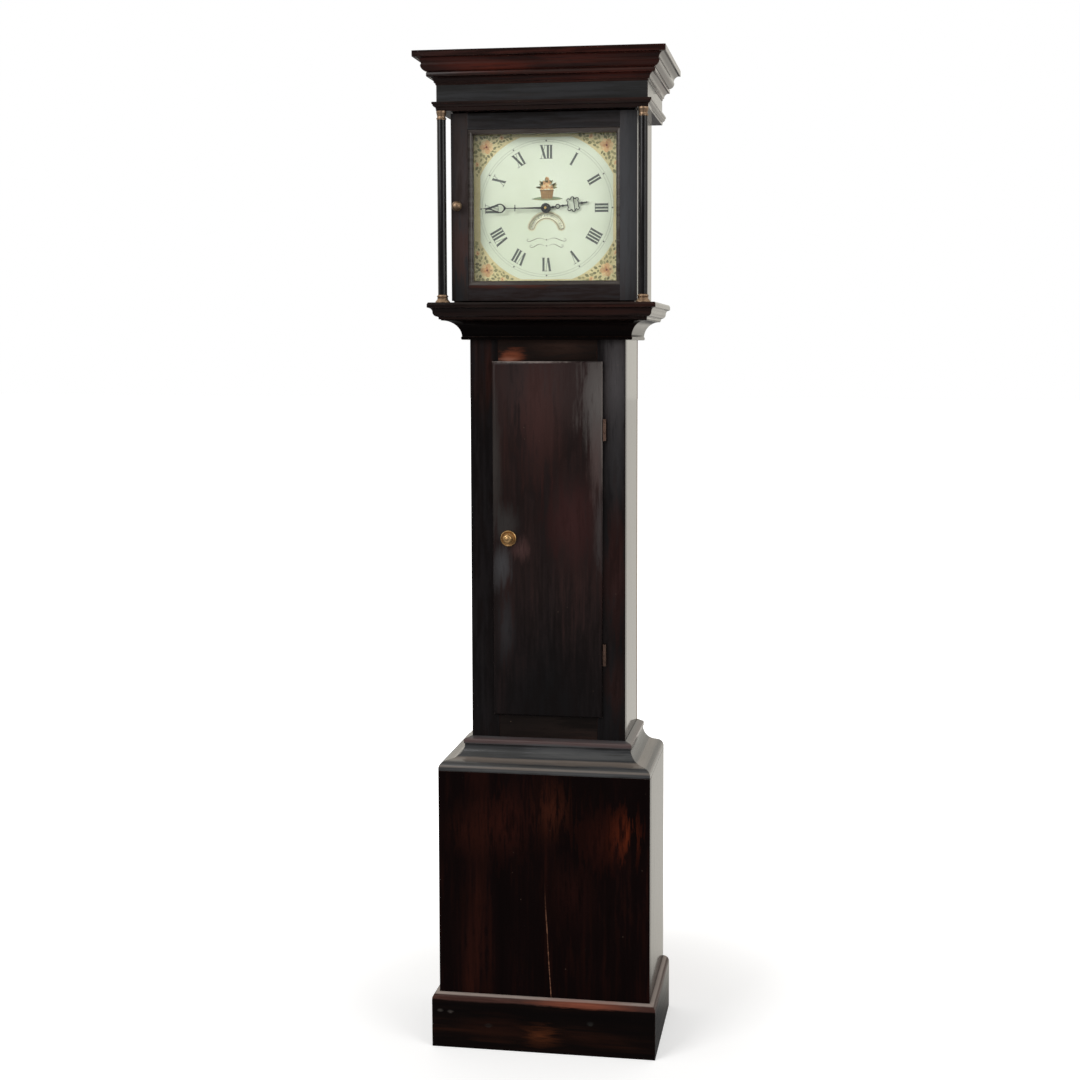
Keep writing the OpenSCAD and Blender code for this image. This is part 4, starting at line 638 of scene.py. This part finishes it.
# Dial painting: thin coats of paint laid on the dial plate, measured in millimetres from its centre

DATE_DROP = 45.0
DATE_RADIUS = 31.0
DATE_HALF_WIDTH = 4.5
DATE_SWEEP = math.radians(74)
FIELD_RADIUS, FIELD_HALF_W, FIELD_HALF_H, PLATE_HALF = 149.0, 134.0, 140.0, 152.3
MINUTE_RINGS, MINUTE_DOTS = (130.2, 135.0), 132.8
NUMERAL_LOW, NUMERAL_HIGH = 97.3, 124.5
SERIF_REACH, SERIF_WIDTH = 3.1, 1.0
LETTER_WIDTH = {"I": 6.3, "V": 12.6, "X": 12.8}
HOURS = ("XII", "I", "II", "III", "IIII", "V", "VI", "VII", "VIII", "IX", "X", "XI")

INK = tone(84, 90, 86)
THIN_INK = tone(112, 118, 108)
DOT_INK = tone(96, 102, 94)
FAINT = tone(180, 188, 168)
PEN = tone(136, 142, 122)
LEAF = tone(154, 149, 104)
LEAF_DARK = tone(128, 125, 86)
PETAL = tone(214, 172, 122)
PETAL_PALE = tone(222, 194, 144)
PETAL_DEEP = tone(200, 144, 98)
OUTLINE = tone(136, 120, 94)
WICKER = tone(168, 132, 84)
WICKER_DARK = tone(118, 90, 56)
GRASS = tone(124, 140, 108)
HALO = tone(206, 204, 172)
FLOWER_EYE = tone(120, 60, 40)
CORNER_YELLOW = tone(193, 182, 132)


def painted(name, mesh, colours, body, coat):
    """A piece of the painting, with a colour for each face of its mesh."""
    laid = mesh.color_attributes.new("paint", "FLOAT_COLOR", "CORNER")
    for face, colour in zip(mesh.polygons, colours):
        for corner in face.loop_indices:
            laid.data[corner].color = colour
    mesh.materials.append(coat)
    piece = stand(name, mesh)
    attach(piece, body)


class Painting:
    """Gathers closed flat shapes with a colour each, and makes one mesh of them."""

    def __init__(self):
        self.points, self.faces, self.colours = [], [], []

    def shape(self, outline, colour, layer):
        """A filled outline, counterclockwise as seen from the front, raised by its layer."""
        turn = sum(a[0] * b[1] - b[0] * a[1] for a, b in zip(outline, outline[1:] + outline[:1]))
        if turn < 0:
            outline = outline[::-1]
        first, n = len(self.points), len(outline)
        front = DIAL_FACE - (0.06 + 0.05 * layer) * MM
        for y in (front, DIAL_FACE + 0.02 * MM):
            self.points += [(x * MM, y, DIAL_Z + z * MM) for x, z in outline]
        self.faces.append([first + k for k in range(n)])
        self.faces.append([first + n + k for k in reversed(range(n))])
        for k in range(n):
            after = (k + 1) % n
            self.faces.append([first + k, first + n + k, first + n + after, first + after])
        self.colours += [colour] * (n + 2)

    def band(self, inner, outer, colour, layer):
        """A closed strip between two lines with the same number of points."""
        n = len(inner)
        for k in range(n):
            m = (k + 1) % n
            self.shape([inner[k], outer[k], outer[m], inner[m]], colour, layer)

    def stroke(self, start, end, width, colour, layer):
        (x0, z0), (x1, z1) = start, end
        length = math.hypot(x1 - x0, z1 - z0)
        a, b, h = (z1 - z0) / length, -(x1 - x0) / length, width / 2
        self.shape([(x0 + a * h, z0 + b * h), (x1 + a * h, z1 + b * h),
                    (x1 - a * h, z1 - b * h), (x0 - a * h, z0 - b * h)], colour, layer)

    def curve(self, line, widths, colour, layer):
        """A brush line through points, with a width at each."""
        left, right = [], []
        for k, (x, z) in enumerate(line):
            x0, z0 = line[max(0, k - 1)]
            x1, z1 = line[min(len(line) - 1, k + 1)]
            length = math.hypot(x1 - x0, z1 - z0)
            a, b, h = -(z1 - z0) / length, (x1 - x0) / length, widths[k] / 2
            left.append((x + a * h, z + b * h))
            right.append((x - a * h, z - b * h))
        self.shape(left + right[::-1], colour, layer)

    def dot(self, x, z, radius, colour, layer, sides=12, flat=1.0, turn=0.0):
        c, s = math.cos(turn), math.sin(turn)
        ring = [(u, v * flat) for u, v in arc(0, 0, radius, 0, math.tau, sides)[:-1]]
        self.shape([(x + c * u - s * v, z + s * u + c * v) for u, v in ring], colour, layer)

    def make(self, name, coat):
        mesh = bpy.data.meshes.new(name)
        mesh.from_pydata(self.points, [], self.faces)
        painted(name, mesh, self.colours, "case", coat)


def paint_corner_ground():
    """The yellow ground outside the cream field: four corners joined by a narrow border."""
    work = Painting()
    inner, outer = [], []
    for k in range(360):
        a = math.tau * k / 360
        c, s = abs(math.cos(a)) + 1e-9, abs(math.sin(a)) + 1e-9
        r = min(FIELD_RADIUS, FIELD_HALF_W / c, FIELD_HALF_H / s)
        reach = PLATE_HALF / max(c, s)
        inner.append((r * math.cos(a), r * math.sin(a)))
        outer.append((reach * math.cos(a), reach * math.sin(a)))
    work.band(inner, outer, CORNER_YELLOW, 0)
    work.make("dial_corner_ground", ground)


def paint_minute_ring():
    work = Painting()
    for radius in MINUTE_RINGS:
        inner, outer = (arc(0, 0, reach, 0, math.tau, 240)[:-1] for reach in (radius, radius + 0.8))
        work.band(inner, outer, FAINT, 1)
    for k in range(60):
        a = math.tau * k / 60
        size, colour, sides = (1.7, DOT_INK, 12) if k % 5 == 0 else (0.55, FAINT, 8)
        work.dot(MINUTE_DOTS * math.sin(a), MINUTE_DOTS * math.cos(a), size, colour, 2, sides)
    work.make("dial_minute_ring", paint)


def numeral_strokes(letter, u):
    """Thick and thin strokes of a numeral letter about u, then its serifs."""
    low, high = NUMERAL_LOW + 0.6, NUMERAL_HIGH - 0.6
    if letter == "I":
        return [((u, low), (u, high), 4.3)], [(u, low), (u, high)]
    if letter == "V":
        return ([((u - 3.7, high), (u + 0.1, low), 4.4), ((u + 4.4, high), (u + 0.8, low), 0.9)],
                [(u - 3.7, high), (u + 4.4, high)])
    return ([((u - 3.8, high), (u + 3.8, low), 4.4), ((u + 4.2, high), (u - 4.2, low), 0.9)],
            [(u - 3.8, high), (u + 4.0, high), (u - 4.0, low), (u + 3.8, low)])


def paint_numerals():
    work = Painting()
    for hour, text in enumerate(HOURS):
        a = math.tau * hour / 12

        def lay(u, v):
            return (u * math.cos(a) + v * math.sin(a), -u * math.sin(a) + v * math.cos(a))

        u = -sum(LETTER_WIDTH[c] for c in text) / 2
        for letter in text:
            middle = u + LETTER_WIDTH[letter] / 2
            strokes, feet = numeral_strokes(letter, middle)
            for k, (start, end, width) in enumerate(strokes):
                work.stroke(lay(*start), lay(*end), width, THIN_INK if k else INK, 1 + k)
            for x, z in feet:
                work.stroke(lay(x - SERIF_REACH, z), lay(x + SERIF_REACH, z), SERIF_WIDTH, INK, 3)
            u += LETTER_WIDTH[letter]
    work.make("dial_numerals", paint)


LEAF_LINE = ((0, 0), (0.2, 0.36), (0.5, 0.5), (0.8, 0.3), (1, 0), (0.8, -0.3), (0.5, -0.5), (0.2, -0.36))


def paint_leaf(work, x, z, turn, length, width, colour, layer):
    c, s = math.cos(turn), math.sin(turn)
    work.shape([(x + c * u * length - s * v * width, z + s * u * length + c * v * width)
                for u, v in LEAF_LINE], colour, layer)


def paint_blossom(work, x, z, radius, petals, turn):
    """An open garden flower: outer petals, inner petals and an eye."""
    for half, out, size, flat, sides, layer, odd, even in (
            (0, 0.58, 0.46, 0.86, 12, 3, PETAL, PETAL_PALE),
            (0.5, 0.3, 0.24, 0.8, 10, 5, PETAL_DEEP, PETAL)):
        for k in range(petals):
            a = turn + math.tau * (k + half) / petals
            work.dot(x + out * radius * math.cos(a), z + out * radius * math.sin(a), size * radius,
                     odd if k % 2 else even, layer + k % 2, sides, flat, a)
    work.dot(x, z, 0.16 * radius, FLOWER_EYE, 7, 10)


def paint_corner_flowers():
    """A blossom in each corner among small leaves scattered to both sides."""
    rng = random.Random(23)
    work = Painting()
    for sx in (-1, 1):
        for sz in (-1, 1):
            blooms = [(121, 122, 13.5), (140, 88, 5.0), (90, 140, 5.0)]
            taken = list(blooms)
            for _ in range(900):
                x, z = rng.uniform(66, 145), rng.uniform(66, 145)
                size = rng.uniform(6.5, 10.5)
                if math.hypot(x, z) < FIELD_RADIUS + 4:
                    continue
                if any(math.hypot(x - u, z - v) < r * 0.9 + size * 0.28 for u, v, r in taken):
                    continue
                taken.append((x, z, size * 0.5))
                turn = math.atan2(z - 119, x - 120) + rng.uniform(-0.9, 0.9)
                c, d = 0.5 * size * math.cos(turn), 0.5 * size * math.sin(turn)
                heading = math.atan2(sz * d, sx * c)
                paint_leaf(work, sx * (x - c), sz * (z - d), heading, size, size * rng.uniform(0.5, 0.75),
                           LEAF if rng.random() < 0.6 else LEAF_DARK, 2)
            for x, z, r in blooms:
                paint_blossom(work, sx * x, sz * z, r, 7 if r > 8 else 5, rng.uniform(0, 1))
    work.make("dial_corner_flowers", paint)


def paint_basket():
    """A basket of garden flowers on a strip of grass, above the centre."""
    rng = random.Random(5)
    work = Painting()
    top = [(-30, 18.5), (-22, 21), (-12, 22.5), (0, 23.5), (12, 23), (24, 21.5), (33, 18.8)]
    work.shape([(-30, 18), (-15, 15.8), (2, 15.2), (20, 15.8), (33, 18.2)] + top[::-1], GRASS, 1)
    work.stroke((-24, 17.2), (28, 17.2), 1.3, LEAF, 2)
    work.shape([(-10, 19), (12, 19), (14.5, 35), (-12.5, 35)], WICKER, 3)
    for k in range(5):
        z = 20.8 + 3.1 * k
        work.stroke((-10.4 - 0.45 * k, z), (12.4 + 0.48 * k, z), 0.8, WICKER_DARK, 4)
    for k in range(7):
        t = k / 6
        work.stroke((-9.4 + 20 * t, 19.3), (-11.6 + 25 * t, 34.6), 0.7, WICKER_DARK, 5)
    work.stroke((-13, 35.4), (15, 35.4), 1.9, WICKER_DARK, 5)
    for k in range(17):
        a = math.pi * (0.02 + 0.96 * k / 16)
        paint_leaf(work, 1 + 9 * math.cos(a), 39 + 9 * math.sin(a), a + rng.uniform(-0.3, 0.3),
                   rng.uniform(8, 14), 4.4, LEAF if k % 2 else LEAF_DARK, 3)
    for x, z, r in ((-8, 40, 5.0), (1, 42.5, 5.8), (10, 40.5, 5.0),
                    (-3.5, 49.5, 5.0), (5.5, 50.5, 4.8), (1.5, 58, 4.2)):
        paint_blossom(work, x, z, r, 6, rng.uniform(0, 1))
    work.make("dial_flower_basket", paint)


def date_outline(reach):
    """The closed line round the date opening, so many millimetres outside it."""
    low, high, half = QUARTER - DATE_SWEEP, QUARTER + DATE_SWEEP, DATE_HALF_WIDTH + reach

    def round_end(at, start):
        x, z = DATE_RADIUS * math.cos(at), DATE_RADIUS * math.sin(at)
        return arc(x, z, half, start, start + math.pi, 10)[1:-1]

    line = (arc(0, 0, DATE_RADIUS + half, low, high, 30) + round_end(high, high)
            + arc(0, 0, DATE_RADIUS - half, high, low, 30) + round_end(low, low - math.pi))
    return [(x, z - DATE_DROP) for x, z in line]


def paint_date_surround():
    """The brown line round the date opening, with its soft yellow halo."""
    work = Painting()
    for gap, width, colour, layer in ((1.6, 2.6, HALO, 1), (0.3, 1.4, OUTLINE, 2)):
        work.band(date_outline(gap), date_outline(gap + width), colour, layer)
    work.make("date_opening_line", paint)


def paint_flourish():
    """A pair of faint pen scrolls below the date opening, each curled up after its straight share."""
    work = Painting()
    straight = 0.68
    for side in (-1, 1):
        for start, reach, low in ((3, 34, -62), (5, 26, -74)):
            line, widths = [], []
            for k in range(31):
                t = k / 30
                curl = max(0.0, t - straight) / (1 - straight)
                x = start + reach * min(t, straight) / straight
                z = low + 3.2 * math.sin(min(t, straight) / straight * math.tau * 0.75)
                if curl:
                    r, a = 3.4 * (1 - 0.7 * curl), 4.6 * curl
                    x, z = start + reach + r * math.sin(a), low + 0.2 - r * math.cos(a)
                line.append((side * x, z))
                widths.append(0.6 + 1.0 * math.sin(math.pi * t) ** 2)
            work.curve(line, widths, PEN, 1)
    work.dot(0, -62, 1.7, PEN, 1)
    work.dot(0, -74, 1.4, PEN, 1)
    work.make("dial_flourish", paint)


def date_numbers():
    """The thirty-one numbers on the date disc, which turn with it."""
    gathered = bmesh.new()
    for day in range(1, 32):
        letters = bpy.data.curves.new("day", "FONT")
        letters.body = str(day)
        letters.size = 6.4 * MM
        letters.align_x = letters.align_y = "CENTER"
        letters.extrude = 0.03 * MM
        letters.resolution_u = 2
        sign = stand("day", letters)
        flat = seen_mesh(sign)
        flat.transform(Matrix.Translation((0, DATE_FACE - 0.02 * MM, DIAL_Z - DATE_DROP * MM))
                       @ Matrix.Rotation(-math.tau * (day - 15) / 31, 4, "Y")
                       @ Matrix.Translation((0, 0, DATE_RADIUS * MM)) @ Matrix.Rotation(QUARTER, 4, "X"))
        gathered.from_mesh(flat)
        bpy.data.objects.remove(sign)
        bpy.data.meshes.remove(flat)
    mesh = bpy.data.meshes.new("date_numbers")
    gathered.to_mesh(mesh)
    gathered.free()
    painted("date_numbers", mesh, [INK] * len(mesh.polygons), "date", paint)


paint_corner_ground()
paint_minute_ring()
paint_numerals()
paint_corner_flowers()
paint_basket()
paint_date_surround()
paint_flourish()
date_numbers()


# Chain, made link by link with geometry nodes

def link_tree():
    """Lays links along a line, each turned a quarter from the one before."""
    tree = bpy.data.node_groups.new("chain links", "GeometryNodeTree")
    side = tree.interface
    side.new_socket("Geometry", in_out="INPUT", socket_type="NodeSocketGeometry")
    for label, value in (("Pitch", 6.5 * MM), ("Wire", 0.45 * MM), ("Half width", 1.45 * MM)):
        side.new_socket(label, in_out="INPUT", socket_type="NodeSocketFloat").default_value = value
    finish = side.new_socket("Finish", in_out="INPUT", socket_type="NodeSocketMaterial").identifier
    side.new_socket("Geometry", in_out="OUTPUT", socket_type="NodeSocketGeometry")
    w = Wiring(tree)
    given = tree.nodes.new("NodeGroupInput").outputs
    line = w.node("GeometryNodeMeshToCurve", i0=given["Geometry"])
    spots = w.node("GeometryNodeCurveToPoints", "Points", {"mode": "LENGTH"},
                   Curve=line, Length=given["Pitch"])
    oval = w.node("GeometryNodeCurvePrimitiveCircle", Resolution=10, Radius=given["Half width"])
    stretch = w.reckon("MULTIPLY_ADD", w.reckon("DIVIDE", given["Pitch"], given["Half width"]), 0.5, i2=0.3)
    oval = w.node("GeometryNodeTransform", Geometry=oval,
                  Scale=w.node("ShaderNodeCombineXYZ", X=stretch, Y=1.0, Z=1.0))
    oval = w.node("GeometryNodeTransform", Geometry=oval, Rotation=(0, QUARTER, 0))
    wire = w.node("GeometryNodeCurvePrimitiveCircle", Resolution=4, Radius=given["Wire"])
    link = w.node("GeometryNodeCurveToMesh", Curve=oval, Profile_Curve=wire)
    laid = w.node("GeometryNodeInstanceOnPoints", Points=spots, Instance=link,
                  Rotation=spots.node.outputs["Rotation"])
    roll = w.node("ShaderNodeCombineXYZ", Z=w.times(w.node("GeometryNodeInputIndex"), QUARTER))
    turned = w.node("GeometryNodeRotateInstances", Instances=laid, Rotation=roll)
    solid = w.node("GeometryNodeRealizeInstances", i0=turned)
    coated = w.node("GeometryNodeSetMaterial", Geometry=solid, Material=given["Finish"])
    w.put(tree.nodes.new("NodeGroupOutput").inputs[0], coated)
    return tree, finish


chain_tree, chain_finish = link_tree()


def chain_run(name, line):
    """Links along a line of points."""
    mesh = bpy.data.meshes.new(name)
    mesh.from_pydata(line, [(k, k + 1) for k in range(len(line) - 1)], [])
    piece = stand(name, mesh)
    laying = piece.modifiers.new("links", "NODES")
    laying.node_group = chain_tree
    laying[chain_finish] = steel
    made_plain(piece)
    return piece


def chain_turn(x, z, radius, start, end):
    return [(u, CHAIN_Y, v) for u, v in arc(x, z, radius, start, end, 24)]


def hang_chain():
    run_x, out_x = SPROCKET_X - SPROCKET_RUN, SPROCKET_X + SPROCKET_RUN
    made = []
    for side, label in ((-1, "left"), (1, "right")):
        straight = chain_run(f"weight_chain_{label}_run",
                             [(side * run_x, CHAIN_Y, z) for z in (PULLEY_Z, SPROCKET_Z)])
        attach(straight, "case")
        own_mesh(straight)
        over = chain_run(f"{label}_sprocket_links",
                         chain_turn(side * SPROCKET_X, SPROCKET_Z, SPROCKET_RUN, 0, math.pi))
        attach(over, "case")
        made += [straight, over]
    under = chain_run("pulley_links", chain_turn(0, PULLEY_Z, run_x, math.pi, math.tau))
    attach(under, "weight")
    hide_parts("weight_chain")
    for side, label in ((-1, "left"), (1, "right")):
        y = RING_Y - side * RING_EYE
        strand = chain_run(f"ring_chain_{label}_run", [
            (side * out_x, CHAIN_Y, SPROCKET_Z), (side * out_x, CHAIN_Y, CHAIN_BEND_Z),
            (0, y, RING_TOP + 0.0075), (0, y, RING_TOP)])
        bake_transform(strand)
    eye = arc(RING_Y, RING_TOP, RING_EYE, math.pi, math.tau, 16)
    loop = chain_run("ring_loop_links", [(0, y, z) for y, z in eye])
    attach(loop, "ring")
    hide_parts("ring_chain")


hang_chain()


# Studio: pale floor, soft light, and the camera of the photograph

WHITE = (1, 1, 1, 1)


def studio_floor():
    """White to the camera. In reflections it is pale only behind the clock and to its right."""
    half, drop = 40, -0.0005
    mesh = bpy.data.meshes.new("studio_floor")
    mesh.from_pydata([(-half, -half, drop), (half, -half, drop), (half, half, drop), (-half, half, drop)],
                     [], [(0, 1, 2, 3)])
    floor = stand("studio_floor", mesh)
    f = Finish("pale studio floor", shine=0.0, roughness=0.9)
    rays = f.node("ShaderNodeLightPath").node.outputs
    mirrored = f.reckon("MAXIMUM", rays["Is Glossy Ray"], rays["Is Transmission Ray"])
    away = f.node("ShaderNodeVectorMath", 1, {"operation": "LENGTH"}, i0=f.place)
    aside = f.node("ShaderNodeSeparateXYZ", 0, i0=f.place)
    behind = f.times(f.between(aside.node.outputs[1], 0.05, 0.5), f.between(aside, -0.8, 0.1))
    direct = f.times(rays["Is Camera Ray"], f.between(away, 0.35, 1.2, 0.4, 0.95))
    lift = f.node("ShaderNodeEmission", Color=f.over(mirrored, WHITE, (1, 0.93, 0.76, 1)),
                  Strength=f.plus(direct, f.times(f.times(mirrored, behind), 0.42)))
    dim = f.times(mirrored, f.reckon("SUBTRACT", 1.0, behind))
    f.put(f.shader.inputs["Base Color"], f.over(dim, (0.82, 0.82, 0.82, 1), (0.3, 0.3, 0.3, 1)))
    f.put(f.out.inputs[0], f.node("ShaderNodeAddShader", i0=f.shader.outputs[0], i1=lift))
    mesh.materials.append(f.material)


def studio_air():
    """White to the camera. Reflections find it white behind the clock and overhead, and dim in front."""
    world = bpy.data.worlds.new("studio air")
    bpy.context.scene.world = world
    world.use_nodes = True
    world.node_tree.nodes.clear()
    air = Wiring(world.node_tree)
    light = air.node("ShaderNodeBackground", Color=(1.0, 0.985, 0.96, 1), Strength=0.55)
    white = air.node("ShaderNodeBackground", Color=WHITE)
    rays = air.node("ShaderNodeLightPath").node.outputs
    heading = air.node("ShaderNodeSeparateXYZ", i0=air.node("ShaderNodeTexCoord", "Generated")).node.outputs
    height = air.times(air.reckon("MAXIMUM", heading["Z"], 0.0), 1.5)
    around = air.between(air.plus(heading["Y"], height), -0.7, 0.15, 0.14, 1.0)
    mirrored = air.node("ShaderNodeBackground", Color=(1, 0.96, 0.86, 1), Strength=around)
    clear = air.reckon("MAXIMUM", rays["Is Camera Ray"], rays["Is Transmission Ray"])
    first = air.reckon("LESS_THAN", rays["Diffuse Depth"], 0.5)
    unseen = air.node("ShaderNodeMixShader", i0=rays["Is Glossy Ray"], i1=light, i2=mirrored)
    mixed = air.node("ShaderNodeMixShader", i0=air.times(clear, first), i1=unseen, i2=white)
    air.put(air.tree.nodes.new("ShaderNodeOutputWorld").inputs["Surface"], mixed)


def soft_lamp(name, place, aim, size, power):
    """A square lamp, with its size in metres and its power in watts."""
    lamp = bpy.data.lights.new(name, "AREA")
    lamp.shape = "SQUARE"
    lamp.size = size
    lamp.energy = power
    ahead = Vector(aim) - Vector(place)
    aimed = ahead.to_track_quat("-Z", "Y").to_matrix().to_4x4()
    stand(name, lamp).matrix_world = Matrix.Translation(place) @ aimed


def photo_camera():
    """The photograph's camera, fitted to points of the case. The two directions are measured."""
    lens = bpy.data.cameras.new("photo camera")
    lens.lens = 50.115
    lens.sensor_width = 36
    lens.shift_x = lens.shift_y = -0.0741
    lens.clip_end = 200
    held = stand("photo camera", lens)
    ahead = Vector((-0.1388, 0.987605, -0.073288)).normalized()
    up = Vector((-0.011138, 0.072443, 0.99731))
    right = ahead.cross(up).normalized()
    up = right.cross(ahead)
    turn = Matrix((right, up, -ahead)).transposed().to_4x4()
    held.matrix_world = Matrix.Translation((0.56515, -3.01753, 1.42277)) @ turn
    bpy.context.scene.camera = held


studio_floor()
studio_air()
soft_lamp("key lamp", (-2.7, -3.6, 3.4), (0, 0, 1.15), 2.6, 105)
soft_lamp("fill lamp", (3.2, -2.2, 2.6), (0, 0, 1.0), 2.0, 40)
photo_camera()
bpy.context.scene.view_settings.view_transform = "Standard"
